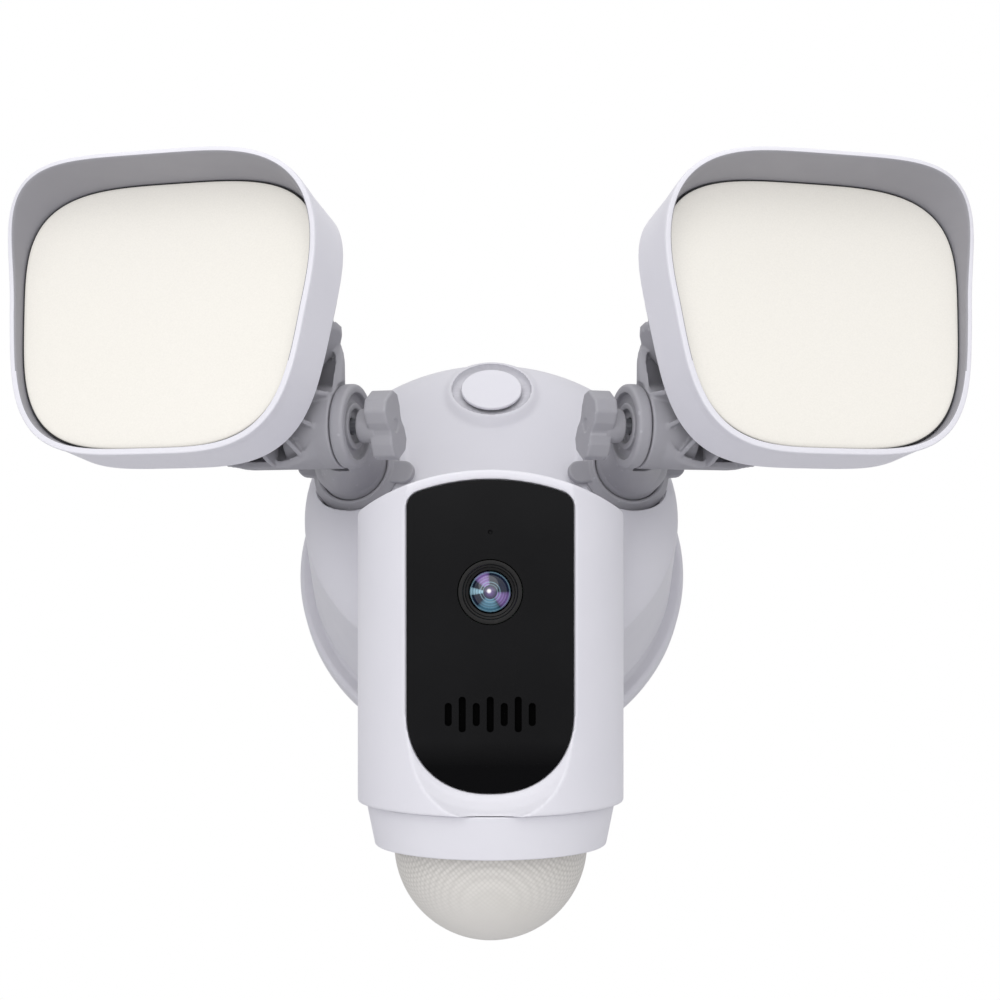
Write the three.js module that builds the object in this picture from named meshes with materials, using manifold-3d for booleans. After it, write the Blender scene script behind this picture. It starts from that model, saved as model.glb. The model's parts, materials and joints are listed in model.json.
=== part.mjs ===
// Wall-mounted floodlight security camera: a round base, two swivelling lamps and a tilting camera head.
// Millimetres. Everything is drawn in the front frame (x right, y up, z out of the wall), and the last
// group turns that into the part's frame (X right, Y into the wall, Z up).
import * as THREE from "three";
import { ConvexGeometry } from "three/addons/geometries/ConvexGeometry.js";
import { mergeVertices } from "three/addons/utils/BufferGeometryUtils.js";
import Module from "manifold-3d";

const manifold = await Module();
manifold.setup();

const degrees = THREE.MathUtils.degToRad;

// ---------------------------------------------------------------- driving dimensions

const GAP = 0.3; // clearance between pieces that touch
const WALL = 2.2; // thickness of the plastic shells

const RIM = { radius: 67.6, depth: 13 };
const DRUM = { radius: 63.4, hidden: 8 };
const DOME = { seat: 57.5, lift: 10, edge: 63, shoulder: 20, steep: 66, shallow: 10 };

const CAP = { height: 43.6, depth: 61.6, lift: 22, disc: 10.3, groove: 13.5, ring: 16.9, rise: 2 };

const ARM = { x: 45.8, y: 10.9, z: 71, yaw: 18, pitch: 3, swivel: 7.3, reach: 33.5 };
const TURRET = { radius: 11.5, ear: 13.4, earInner: 15, earOuter: 10.4 };
const COLLAR = { radius: 15.2, height: 4.8, tab: 21, turn: 12 };
const KNOB = { length: 21.5, lobe: 12.4, waist: 9.4, corner: 2.8, start: 20.4, thickness: 7.6, lean: -50 };

const LAMP = { x: 38.6, y: 26.4, z: 38.4, tilt: 6, width: 97.7, height: 87.6, taper: 0.11, square: 3.5 };
const HOOD = { top: 20.5, side: 4.3, bottom: 2, sweep: 2.4, wall: 2.3, back: 19.5 };
const HOOD_CORNERS = [4.3, 3.9]; // how square the hood's top and bottom corners are
const HORN = { x: 12.5, y: 10.2, z: 7.5, width: 47, height: 51.5, corner: 19, wall: 2.2, rib: 1.4, ribs: 10 };

const HEAD = {
  y: -18.7, z: 107.4, tilt: 25.5, radius: 41.3, top: 9, shoulder: -4, bottom: -93, rear: -14, split: -4,
};
const WINDOW = { z: 33, half: 24.8, top: 6, centre: -62.2, thickness: 1.4 };
const LENS = { y: -27.3, ring: 9.5, bore: 8.3, glass: 6.1 };
const SLOT = { y: -63.6, pitch: 4.15, width: 2.1, short: 6.9, long: 10.6 };
const SKIRT = { top: -94.4, bottom: -106.5, wide: 38.6, narrow: 35.9 };
const PIR = { radius: 30, wall: 1.6 };
const NECK = { y: -14, z: -20.6, lug: 5, pin: 2, flange: 2.4 };

const GROMMET = { x: 27, bore: 8, groove: 10.7, lip: 12.6 };
const SCREW_PLACES = [[-44, 30], [44, 30], [-36, -40], [36, -40]];

// ---------------------------------------------------------------- solids

// A three.js geometry as a manifold solid, ready for a boolean.
function solidOf(geometry) {
  const flat = geometry.index ? geometry.toNonIndexed() : geometry;
  const bare = new THREE.BufferGeometry().setAttribute("position", flat.getAttribute("position"));
  const merged = mergeVertices(bare, 1e-4);
  const mesh = new manifold.Mesh({
    numProp: 3,
    vertProperties: merged.getAttribute("position").array,
    triVerts: new Uint32Array(merged.index.array),
  });
  return new manifold.Manifold(mesh);
}

// A manifold solid as a three.js geometry.
function geometryOf(solid) {
  const { vertProperties, triVerts, numProp, numVert } = solid.getMesh();
  const positions = new Float32Array(numVert * 3);
  for (let i = 0; i < numVert; i++) {
    positions.set(vertProperties.subarray(i * numProp, i * numProp + 3), i * 3);
  }
  const geometry = new THREE.BufferGeometry();
  geometry.setAttribute("position", new THREE.BufferAttribute(positions, 3));
  geometry.setIndex(new THREE.BufferAttribute(new Uint32Array(triVerts), 1));
  geometry.computeVertexNormals();
  return geometry;
}

const join = (...parts) => geometryOf(parts.map(solidOf).reduce((whole, part) => whole.add(part)));
const overlap = (...parts) => geometryOf(parts.map(solidOf).reduce((whole, part) => whole.intersect(part)));

function cut(body, ...tools) {
  return geometryOf(tools.map(solidOf).reduce((whole, tool) => whole.subtract(tool), solidOf(body)));
}

// ---------------------------------------------------------------- shapes

// The convex skin around several shapes.
function wrap(...geometries) {
  const corners = geometries.flatMap((geometry) => {
    const places = geometry.getAttribute("position");
    return [...Array(places.count).keys()].map((i) => new THREE.Vector3().fromBufferAttribute(places, i));
  });
  return new ConvexGeometry(corners);
}

// A solid of revolution about +z. The profile is a list of [radius, height] that runs from the axis back to
// the axis, anticlockwise, or a ring that closes on its first point.
function revolve(profile, segments = 40) {
  const points = profile.map(([radius, height]) => new THREE.Vector2(radius, height));
  if (profile[0][0] > 0) points.push(points[0].clone());
  return new THREE.LatheGeometry(points, segments).rotateX(Math.PI / 2);
}

// [radius, height] points along an arc, from one angle to another in degrees from the +radius axis.
function arc(radius, height, size, from, to, steps) {
  return Array.from({ length: steps + 1 }, (_, i) => {
    const angle = degrees(from + ((to - from) * i) / steps);
    return [radius + size * Math.cos(angle), height + size * Math.sin(angle)];
  });
}

const disc = (radius, low, high, segments = 32) =>
  new THREE.CylinderGeometry(radius, radius, high - low, segments)
    .rotateX(Math.PI / 2)
    .translate(0, 0, (low + high) / 2);

const box = (width, height, depth, x = 0, y = 0, z = 0) =>
  new THREE.BoxGeometry(width, height, depth).translate(x, y, z);

// A prism along +z.
function prism(shape, low, high, curveSegments = 4) {
  const along = { depth: high - low, bevelEnabled: false, curveSegments };
  return new THREE.ExtrudeGeometry(shape, along).translate(0, 0, low);
}

const ring = (outer, inner, low, high, segments = 32) =>
  revolve([[inner, low], [outer, low], [outer, high], [inner, high]], segments);

function regularPolygon(sides, radius) {
  const corner = (i) => (2 * Math.PI * i) / sides;
  const points = Array.from({ length: sides }, (_, i) =>
    new THREE.Vector2(radius * Math.cos(corner(i)), radius * Math.sin(corner(i))));
  return new THREE.Shape(points);
}

// Lays a shape drawn about +z along +x instead, moved to a place.
const across = (geometry, x = 0, y = 0, z = 0) => geometry.rotateY(Math.PI / 2).translate(x, y, z);

// A rectangle with round corners, centred on the axis.
function roundedRectangle(width, height, corner) {
  const [x, y] = [width / 2, height / 2];
  const shape = new THREE.Shape();
  shape.moveTo(-x + corner, -y);
  shape.lineTo(x - corner, -y);
  shape.absarc(x - corner, -y + corner, corner, -Math.PI / 2, 0);
  shape.absarc(x - corner, y - corner, corner, 0, Math.PI / 2);
  shape.absarc(-x + corner, y - corner, corner, Math.PI / 2, Math.PI);
  shape.absarc(-x + corner, -y + corner, corner, Math.PI, Math.PI * 1.5);
  return shape;
}

// A closed skin through rings that all have the same number of points: capped at both ends, or joined from
// the last ring back to the first.
function loft(rings, joined = false) {
  const count = rings[0].length;
  const positions = [];
  const index = [];
  const middle = (ring) => ring.reduce((sum, p) => sum.add(p), new THREE.Vector3()).divideScalar(count);
  rings.forEach((ring) => ring.forEach((p) => positions.push(p.x, p.y, p.z)));
  const at = (ring, i) => ring * count + (i % count);
  const last = rings.length - 1;
  for (let ring = 0; ring < last + (joined ? 1 : 0); ring++) {
    const next = (ring + 1) % rings.length;
    for (let i = 0; i < count; i++) {
      index.push(at(ring, i), at(ring, i + 1), at(next, i));
      index.push(at(ring, i + 1), at(next, i + 1), at(next, i));
    }
  }
  const ends = joined ? [] : [[0, 1], [last, -1]];
  ends.forEach(([ring, side]) => {
    const hub = positions.length / 3;
    positions.push(...middle(rings[ring].map((p) => p.clone())).toArray());
    for (let i = 0; i < count; i++) {
      const edge = [at(ring, i + 1), at(ring, i)];
      index.push(hub, ...(side > 0 ? edge : edge.reverse()));
    }
  });
  const geometry = new THREE.BufferGeometry();
  geometry.setAttribute("position", new THREE.Float32BufferAttribute(positions, 3));
  geometry.setIndex(index);
  geometry.computeVertexNormals();
  return geometry;
}

// ---------------------------------------------------------------- finishes

const finish = {
  white: { color: 0xdad9df, roughness: 0.5, metalness: 0 },
  grey: { color: 0xa2a1a8, roughness: 0.6, metalness: 0 },
  hood: { color: 0xc9c8cf, roughness: 0.55, metalness: 0 },
  diffuser: { color: 0xf5f2eb, roughness: 0.4, metalness: 0 },
  gloss: { color: 0x101012, roughness: 0.08, metalness: 0 },
  black: { color: 0x1c1c1e, roughness: 0.6, metalness: 0 },
  fresnel: { color: 0xe6e1d8, roughness: 0.45, metalness: 0 },
  rubber: { color: 0x2a2a2c, roughness: 0.9, metalness: 0 },
  steel: { color: 0xb8babd, roughness: 0.35, metalness: 1 },
  aluminium: { color: 0xc4c6c8, roughness: 0.4, metalness: 1 },
  board: { color: 0x1f5a35, roughness: 0.5, metalness: 0 },
  glass: { color: 0x3a3f78, roughness: 0.03, metalness: 0 },
  copper: { color: 0xb0703a, roughness: 0.4, metalness: 1 },
};

function piece(name, geometry, look) {
  const mesh = new THREE.Mesh(geometry, new THREE.MeshStandardMaterial(finish[look]));
  mesh.name = name;
  return mesh;
}

function assembly(name, ...children) {
  const group = new THREE.Group();
  group.name = name;
  group.add(...children);
  return group;
}

// ---------------------------------------------------------------- places

// A point of the camera head, given as its height and its distance forward, in the front frame.
function headPoint(y, z) {
  const lean = degrees(HEAD.tilt);
  const up = y * Math.cos(lean) - z * Math.sin(lean);
  const out = y * Math.sin(lean) + z * Math.cos(lean);
  return new THREE.Vector3(0, HEAD.y + up, HEAD.z + out);
}

const pivot = headPoint(NECK.y, NECK.z);
const neckSeat = pivot.z - NECK.lug - NECK.flange - 0.8;
const armTurn = new THREE.Euler(degrees(ARM.pitch), degrees(ARM.yaw), 0, "YXZ");

// Solids of revolution on the swivel axes of both arms, in their places on the base.
function onBothArms(profile, segments) {
  const places = [1, -1].map((side) => {
    const turn = new THREE.Euler(armTurn.x, side * armTurn.y, 0, "YXZ");
    return new THREE.Matrix4().makeRotationFromEuler(turn).setPosition(side * ARM.x, ARM.y, ARM.z);
  });
  return join(...places.map((place) => revolve(profile, segments).applyMatrix4(place)));
}

// Moves a shape from the cap's own axis to its place on the dome.
const onCap = (geometry) => geometry.rotateX(-degrees(CAP.lift)).translate(0, CAP.height, CAP.depth);

// ---------------------------------------------------------------- wall base

// The dome about its own lifted axis, shrunk by `inset` for the inside of the shell.
function domeBody(inset, steps, segments) {
  const steep = degrees(DOME.steep);
  const shallow = degrees(DOME.shallow);
  const centre = DOME.edge - DOME.shoulder * Math.sin(steep);
  const floor = -DOME.shoulder * Math.cos(steep);
  const shoulder = arc(centre, floor, DOME.shoulder - inset, 90 - DOME.steep, 90 - DOME.shallow, steps);
  const [radius, height] = shoulder[shoulder.length - 1];
  const crown = radius / Math.sin(shallow);
  const cap = arc(0, height - crown * Math.cos(shallow), crown, 90 - DOME.shallow, 90, 3).slice(1, -1);
  const top = height + crown * (1 - Math.cos(shallow));
  const skirt = [[0, -70], [95, -70], [95, shoulder[0][1]]];
  return revolve([...skirt, ...shoulder, ...cap, [0, top]], segments)
    .rotateX(-degrees(DOME.lift))
    .translate(0, 0, DOME.seat);
}

function drumBody(inset, low, segments) {
  const radius = DRUM.radius - inset;
  return revolve([[0, low], [radius, low], [radius - 1.4, 90], [0, 90]], segments);
}

function baseCover() {
  const drum = drumBody(0, DRUM.hidden, 30);
  const outside = overlap(drum, domeBody(0, 3, 30));
  const inside = overlap(drumBody(WALL, DRUM.hidden - 2, 16), domeBody(WALL, 2, 16));
  const top = -COLLAR.height - GAP;
  const neck = COLLAR.radius + 0.3;
  const flare = [[0, -24], [neck + 7, -24], [neck + 3.2, -13.5], [neck + 0.8, -9]];
  const bosses = onBothArms([...flare, [neck, top], [0, top]], 18);
  const slope = [[0, -6], [CAP.ring + 1.4, -6], [CAP.ring, 0], [CAP.groove + 0.9, CAP.rise]];
  const capRing = onCap(revolve([...slope, [0, CAP.rise]], 24));
  const pad = disc(12.5, 52, neckSeat - GAP, 16).translate(0, pivot.y, 0);
  const shell = cut(join(outside, overlap(bosses, drum), capRing, pad), inside);
  return cut(shell, armBores(top), capRoom(), neckBore());
}

// The stepped holes that the turrets and their collars stand in.
function armBores(top) {
  const [bore, seal, clear] = [8.9, 11.4, COLLAR.radius + 0.5];
  const steps = [[bore, -30], [bore, -6.9], [seal, -6.9], [seal, top], [clear, top], [clear, 8]];
  return onBothArms([[0, -30], ...steps, [0, 8]], 20);
}

function capRoom() {
  return join(onCap(disc(CAP.groove, 0.6, 9, 24)), onCap(disc(7.6, -12, 5, 16)));
}

function neckBore() {
  const seat = neckSeat - GAP;
  const steps = [[4.2, 40], [4.2, seat], [11, seat], [11, 90]];
  return revolve([[0, 40], ...steps, [0, 90]], 16).translate(0, pivot.y, 0);
}

function baseShell() {
  const lip = DRUM.radius + 0.45;
  const edge = arc(RIM.radius - 1.8, RIM.depth - 2, 2, 0, 90, 3);
  const floor = [[0, 2.3], [RIM.radius - 1.8, 2.3], [RIM.radius, 4.2]];
  const tray = revolve([...floor, ...edge, [lip, RIM.depth], [lip, 5], [0, 5]], 40);
  const posts = SCREW_PLACES.map(([x, y]) => disc(4, 4.5, 11, 12).translate(x, y, 0));
  const holes = SCREW_PLACES.map(([x, y]) => disc(1.6, 0, 12, 8).translate(x, y, 0));
  const wireHole = disc(11, 0, 8, 28).translate(GROMMET.x, 0, 0);
  const boltHole = disc(3.4, 0, 12, 20).translate(0, CAP.height, 0);
  return cut(join(tray, ...posts), wireHole, boltHole, ...holes);
}

function wallBracket() {
  const window = (x) => prism(roundedRectangle(26, 56, 8), -1, 3, 2).translate(x, 0, 0);
  const slot = (x, y) => prism(roundedRectangle(5, 12, 2.4), -1, 3, 1).translate(x, y, 0);
  const nut = prism(regularPolygon(6, 6), 1.6, 2.25).translate(0, CAP.height, 0);
  const thread = disc(2.2, -1, 6, 12).translate(0, CAP.height, 0);
  const slots = [slot(0, -44), slot(0, 36), slot(46, 0), slot(-46, 0)];
  return cut(join(disc(52, 0, 1.8, 32), nut), window(27), window(-27), thread, ...slots);
}

// A slotted screw that points along -z, its head seated at `seat`.
function screw(radius, head, length, seat) {
  const shank = [[0, seat - length], [radius, seat - length + 0.8], [radius, seat]];
  const top = [[head, seat], [head, seat + 1.2], [head - 0.6, seat + 1.8], [0, seat + 1.8]];
  return cut(revolve([...shank, ...top], 8), box(head * 1.1, 0.7, 1.6, 0, 0, seat + 1.9));
}

function serviceCap() {
  const { disc: edge, rise } = CAP;
  const plug = [[0, -7], [6.6, -7], [7.2, -6.2], [7.2, 0.9]];
  const face = [[edge, 0.9], [edge, rise - 0.3], [edge - 0.5, rise + 0.1], [0, rise + 0.3]];
  return onCap(cut(revolve([...plug, ...face], 24), disc(5.6, -8, -0.6, 16)));
}

function wireGrommet() {
  const { bore, groove, lip } = GROMMET;
  const rear = [[bore, 1.2], [lip, 1.2], [lip, 2], [groove, 2]];
  const front = [[groove, 5.3], [lip, 5.3], [lip - 0.4, 7], [bore, 7]];
  return revolve([...rear, ...front], 24).translate(GROMMET.x, 0, 0);
}

function driverBoard() {
  const board = prism(roundedRectangle(62, 44, 2), 12, 13.6, 3).translate(0, -14, 0);
  const relay = box(22, 12, 8, -14, -26, 17.4);
  const choke = box(10, 8, 6, 18, -28, 16.4);
  const capacitor = disc(4, 13.4, 24, 20).translate(25, -8, 0);
  return cut(join(board, relay, choke, capacitor), disc(1.7, 10, 16, 12).translate(-28, -32, 0));
}

function terminalBlock() {
  const ports = [-8, 0, 8].map((x) => box(3.6, 5, 5, x, 33.6, 19.5));
  const screwWays = [-8, 0, 8].map((x) => disc(1.6, 22, 26, 8).translate(x, 27, 0));
  return cut(box(26, 12, 12, 0, 28, 19.2), ...ports, ...screwWays);
}

function baseParts() {
  const capSeal = onCap(ring(CAP.disc - 0.4, 8, 0.63, 0.86, 20));
  const bolt = screw(1.9, 3.4, 30, 32).translate(0, CAP.height, 0);
  const coverScrew = ([x, y], i) =>
    piece("cover_screw_" + (i + 1), screw(1.3, 2.6, 8, 11.3).translate(x, y, 0), "steel");
  return assembly(
    "wall_base",
    piece("wall_bracket", wallBracket(), "steel"),
    piece("wall_gasket", ring(66, 55, 0, 2, 32), "rubber"),
    piece("base_shell", baseShell(), "white"),
    piece("base_cover", baseCover(), "white"),
    piece("service_cap", serviceCap(), "white"),
    piece("service_cap_seal", capSeal, "rubber"),
    piece("mounting_bolt", bolt, "steel"),
    piece("wire_grommet", wireGrommet(), "rubber"),
    piece("driver_board", driverBoard(), "board"),
    piece("driver_transformer", box(18, 16, 15, 8, -8, 21.4), "copper"),
    piece("terminal_block", terminalBlock(), "black"),
    ...SCREW_PLACES.map(coverScrew),
  );
}

// ---------------------------------------------------------------- arm

function armCollar() {
  const low = -COLLAR.height;
  const outer = COLLAR.radius;
  const bore = TURRET.radius + 0.5;
  const side = [[bore, low], [outer, low], [outer, -2.8], [outer - 1.8, -0.9]];
  const body = revolve([...side, [bore + 1, 0], [bore, -0.3]], 28);
  const tab = prism(roundedRectangle(COLLAR.tab * 2, 7.6, 3.6), low + 0.7, low + 3.1, 3);
  return join(body, cut(tab, disc(bore + 0.7, low - 1, 2, 24)).rotateZ(degrees(COLLAR.turn)));
}

function armTurret() {
  const { radius, ear, earInner, earOuter } = TURRET;
  const foot = [[0, -14], [8.4, -14], [8.4, -4.2], [radius, -4.2], [radius, 4]];
  const stub = revolve([...foot, ...arc(0, 4, radius, 18, 72, 3), [0, 4 + radius]], 24);
  const onHinge = (geometry) => across(geometry, 0, 0, ARM.reach);
  const cheek = onHinge(disc(ear, -earInner, -earOuter, 24));
  const elbowEnd = onHinge(disc(ear - 3, -earInner + 0.8, -earOuter, 16));
  const elbow = wrap(disc(radius - 0.2, 2, 5, 24), elbowEnd);
  const hubRoom = onHinge(disc(ear + 0.6, -earOuter + 0.02, 30, 24));
  const hornRoom = onHinge(disc(ear + 2.3, -earOuter + 1.4, 30, 24));
  const recess = onHinge(disc(10.6, -earInner - 2, -earInner + 2, 20));
  const lip = onHinge(ring(7.4, 5.4, -earInner + 0.6, -earInner + 3, 16));
  const bore = onHinge(disc(2.7, -30, 30, 12));
  const wireWay = disc(4.6, -16, 8, 16);
  return cut(join(cut(join(stub, cheek, elbow), hubRoom, hornRoom, recess), lip), bore, wireWay);
}

// Half of the wing's outline: one lobe, from the waist on one side to the waist on the other.
function knobLobe(side) {
  const half = KNOB.length / 2;
  const lobe = KNOB.lobe / 2;
  const waist = KNOB.waist / 2;
  const rise = [[waist, 1], [lobe, 4.2], [lobe, half - KNOB.corner], [lobe - KNOB.corner, half]];
  const fall = rise.map(([x, y]) => [-x, y]).reverse();
  return [...rise, ...fall].map(([x, y]) => new THREE.Vector2(side * x, side * y));
}

function wingKnob() {
  const outline = new THREE.Shape([...knobLobe(1), ...knobLobe(-1)]);
  const edge = { bevelEnabled: true, bevelThickness: 0.6, bevelSize: 0.6, bevelSegments: 1 };
  const wing = new THREE.ExtrudeGeometry(outline, { depth: KNOB.thickness - 1.2, ...edge });
  const knob = join(wing.translate(0, 0, 0.6), disc(5.5, -4.4, 2, 20));
  const turned = cut(knob, disc(2.7, -6, KNOB.thickness - 2.5, 12)).rotateZ(degrees(KNOB.lean));
  return turned.rotateY(-Math.PI / 2).translate(-KNOB.start, 0, 0);
}

function clampBolt() {
  const end = KNOB.start + KNOB.thickness - 3;
  return across(join(disc(2.4, -end, 5.5, 12), prism(regularPolygon(6, 4.2), 5.4, 8.6)));
}

// ---------------------------------------------------------------- lamp

// The lamp's outline at one depth: a tapered rounded square grown by `grow`, at depth z(v), where v runs
// from -1 at the bottom to 1 at the top. The last pair sets how square its top and bottom corners are.
function lampRing(grow, z, [squareTop, squareBottom] = [LAMP.square, LAMP.square], count = 30) {
  const { width, height, taper } = LAMP;
  const point = (angle) => {
    const c = Math.cos(angle);
    const s = Math.sin(angle);
    const square = s > 0 ? squareTop : squareBottom;
    const r = (Math.abs(c) ** square + Math.abs(s) ** square) ** (-1 / square);
    const v = r * s;
    return new THREE.Vector3((r * c * (1 + taper * v) * width) / 2, (v * height) / 2, v);
  };
  return Array.from({ length: count }, (_, i) => {
    const even = (2 * Math.PI * i) / count;
    const angle = even + 0.13 * Math.sin(4 * even);
    const here = point(angle);
    const along = point(angle + 0.01).sub(point(angle - 0.01)).setZ(0).normalize();
    return new THREE.Vector3(here.x + along.y * grow, here.y - along.x * grow, z(here.z));
  });
}

const level = (z) => () => z;

// How far the hood stands out in front of the diffuser.
function hoodEdge(v) {
  const reach = v > 0 ? (HOOD.top - HOOD.side) * v ** HOOD.sweep : (HOOD.side - HOOD.bottom) * v;
  return HOOD.side + reach;
}

function lampBezel() {
  const outer = HOOD.wall + 0.3;
  const rear = [3.9, 3.8];
  const hood = (grow, drop) => lampRing(grow, (v) => hoodEdge(v) - drop, HOOD_CORNERS);
  const outside = [lampRing(1, level(-HOOD.back), rear), lampRing(outer - 0.5, level(-2), rear)];
  const edge = [hood(outer, 0.7), hood(outer - 0.6, 0), hood(0.9, 0), hood(0.4, 0.6)];
  const rebate = [[0.4, -2.8], [-3, -2.8], [-3, -4.6], [-1.4, -4.6], [-1.4, -HOOD.back]];
  return loft([...outside, ...edge, ...rebate.map(([grow, z]) => lampRing(grow, level(z)))], true);
}

const plate = (grow, low, high) => loft([lampRing(grow, level(low)), lampRing(grow, level(high))]);

const lampDiffuser = () =>
  loft([lampRing(-0.9, level(-2.5)), lampRing(-0.9, level(-0.4)), lampRing(-1.5, level(0))]);

function lampGasket() {
  const section = [[-0.6, -2.5], [0.1, -2.5], [0.1, -0.4], [-0.6, -0.4]];
  return loft(section.map(([grow, z]) => lampRing(grow, level(z))), true);
}

function ledBoard() {
  const chips = [-22, 0, 22].flatMap((y) => [-26, 0, 26].map((x) => box(4, 4, 1.4, x, y, -6.3)));
  return join(plate(-5, -8.4, -6.8), ...chips);
}

function heatPlate() {
  const fins = [-20, 0, 20].map((x) => box(2, 50, 5, x, 2, -11.4));
  return join(plate(-5, -10.4, -8.8), ...fins);
}

// The rear casting in the lamp's own frame: a dished back, ribs, and a horn that ends in the hinge hub.
function lampHousing() {
  const back = HOOD.back + 0.35;
  const atHub = (geometry) => geometry.translate(-LAMP.x, -LAMP.y, -LAMP.z);
  const rise = [[-16, -back - 5.8], [-7, -back - 4.4], [0.2, -back - 1.4], [0.6, -back]];
  const dish = [...rise, [-1.8, -back], [-1.8, -10.2]];
  const hollow = [[-17, -back - 3.8], [-8, -back - 2.4], [-4, -back], [-4, -8]];
  const outside = loft(dish.map(([grow, z]) => lampRing(grow, level(z))));
  const inside = loft(hollow.map(([grow, z]) => lampRing(grow, level(z))));

  const hubFace = -TURRET.earOuter + GAP;
  const hub = atHub(across(disc(TURRET.ear, hubFace, 6, 20)));
  const rim = (inset, low, high) => {
    const outline = roundedRectangle(HORN.width - 2 * inset, HORN.height - 2 * inset, HORN.corner - inset);
    return atHub(prism(outline, HORN.z + low, HORN.z + high, 3).translate(HORN.x, HORN.y, 0));
  };
  const horn = wrap(atHub(across(disc(TURRET.ear, hubFace + 5, 5, 20))), rim(0, -2, 0));
  const mouth = wrap(atHub(across(disc(6, 9, 13, 12), 0, 2, 4)), rim(HORN.wall, -1, 9));
  const envelope = wrap(rim(0.4, -1, -0.4), plate(-0.2, -back - 1.5, -back - 0.4));
  const rib = (_, i) => {
    const turn = degrees((i + 0.5) * (360 / HORN.ribs));
    return atHub(box(90, HORN.rib, 40, 45, 0, 20).rotateZ(turn).translate(9, 1, 0));
  };
  const ribs = overlap(join(...Array.from({ length: HORN.ribs }, rib)), envelope);

  const cheekRoom = across(disc(TURRET.ear + 0.8, -30, hubFace, 24));
  const turretRoom = disc(TURRET.radius + 1, -40, -14, 16);
  const washerRoom = across(disc(9.4, hubFace - 0.3, hubFace + 1.8, 20));
  const bore = across(disc(2.8, -20, 20, 12));
  const headRoom = across(disc(4.7, 5.2, 14, 12));
  const rooms = [cheekRoom, turretRoom, washerRoom, bore, headRoom].map(atHub);
  return cut(join(outside, cut(join(hub, cut(horn, mouth), ribs), ...rooms)), inside);
}

// ---------------------------------------------------------------- one side: arm and lamp

function side(name) {
  const lamp = assembly(
    name + "_lamp",
    piece(name + "_lamp_housing", lampHousing(), "grey"),
    piece(name + "_lamp_bezel", lampBezel(), "hood"),
    piece(name + "_lamp_diffuser", lampDiffuser(), "diffuser"),
    piece(name + "_lamp_gasket", lampGasket(), "rubber"),
    piece(name + "_led_board", ledBoard(), "board"),
    piece(name + "_heat_plate", heatPlate(), "aluminium"),
  );
  lamp.position.set(LAMP.x, LAMP.y, LAMP.z);
  const tilting = assembly(name + "_tilt", lamp);
  tilting.rotation.x = degrees(LAMP.tilt);
  tilting.position.z = ARM.reach;

  const washer = across(ring(9, 3, -0.75, 0.75, 20), -TURRET.earOuter + 1.25);
  const clamp = assembly(
    name + "_clamp",
    piece(name + "_clamp_bolt", clampBolt(), "steel"),
    piece(name + "_friction_washer", washer, "rubber"),
    piece(name + "_wing_knob", wingKnob(), "grey"),
  );
  clamp.position.z = ARM.reach;

  const swivel = assembly(
    name + "_swivel",
    piece(name + "_turret", armTurret(), "grey"),
    piece(name + "_turret_seal", ring(10.9, 9, -6.5, -4.7, 20), "rubber"),
    clamp,
    tilting,
  );
  swivel.rotation.z = degrees(ARM.swivel);

  const arm = assembly(name + "_arm", piece(name + "_collar", armCollar(), "grey"), swivel);
  arm.rotation.copy(armTurn);
  arm.position.set(ARM.x, ARM.y, ARM.z);

  const whole = assembly(name + "_side", arm);
  whole.scale.x = name === "left" ? -1 : 1;
  return whole;
}

// ---------------------------------------------------------------- camera head

// Turns a shape drawn about +z so that it stands along the head's own upright axis.
const upright = (geometry) => geometry.rotateX(-Math.PI / 2);

// The head's plan: a half circle at the front, straight sides and round rear corners, as seen from above.
function headPlan(inset) {
  const radius = HEAD.radius - inset;
  const rear = -HEAD.rear - inset;
  const corner = 7 - inset / 2;
  const shape = new THREE.Shape();
  shape.absarc(0, 0, radius, Math.PI, Math.PI * 2);
  shape.lineTo(radius, rear - corner);
  shape.absarc(radius - corner, rear - corner, corner, 0, Math.PI / 2);
  shape.absarc(-radius + corner, rear - corner, corner, Math.PI / 2, Math.PI);
  return shape;
}

// The head's front outline: straight sides under a shallow arch with round shoulders.
function headArch(inset, low) {
  const radius = HEAD.radius - inset;
  const rise = HEAD.top - HEAD.shoulder;
  const size = (HEAD.radius ** 2 + rise ** 2) / (2 * rise);
  const centre = HEAD.top - size;
  const corner = 3;
  const reach = Math.asin((radius - corner) / (size - inset - corner));
  const shape = new THREE.Shape();
  shape.moveTo(-radius, low);
  shape.lineTo(radius, low);
  const cornerY = centre + (size - inset - corner) * Math.cos(reach);
  shape.absarc(radius - corner, cornerY, corner, 0, Math.PI / 2 - reach);
  shape.absarc(0, centre, size - inset, Math.PI / 2 - reach, Math.PI / 2 + reach);
  shape.absarc(-radius + corner, cornerY, corner, Math.PI / 2 + reach, Math.PI);
  return shape;
}

function headBody(inset) {
  const plan = upright(prism(headPlan(inset), HEAD.bottom - 1, HEAD.top + 1, 13));
  const arch = prism(headArch(inset, HEAD.bottom), -60, 60, 6);
  return overlap(plan, arch);
}

// The window's outline: an arched top and a round bottom, grown by `grow`.
function windowOutline(grow) {
  const half = WINDOW.half + grow;
  const size = 66 + grow;
  const centre = WINDOW.top - 66;
  const corner = 5 + grow;
  const reach = Math.asin((half - corner) / (size - corner));
  const cornerY = centre + (size - corner) * Math.cos(reach);
  const shape = new THREE.Shape();
  shape.absarc(0, WINDOW.centre, half, Math.PI, Math.PI * 2);
  shape.absarc(half - corner, cornerY, corner, 0, Math.PI / 2 - reach);
  shape.absarc(0, centre, size, Math.PI / 2 - reach, Math.PI / 2 + reach);
  shape.absarc(-half + corner, cornerY, corner, Math.PI / 2 + reach, Math.PI);
  return shape;
}

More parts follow.
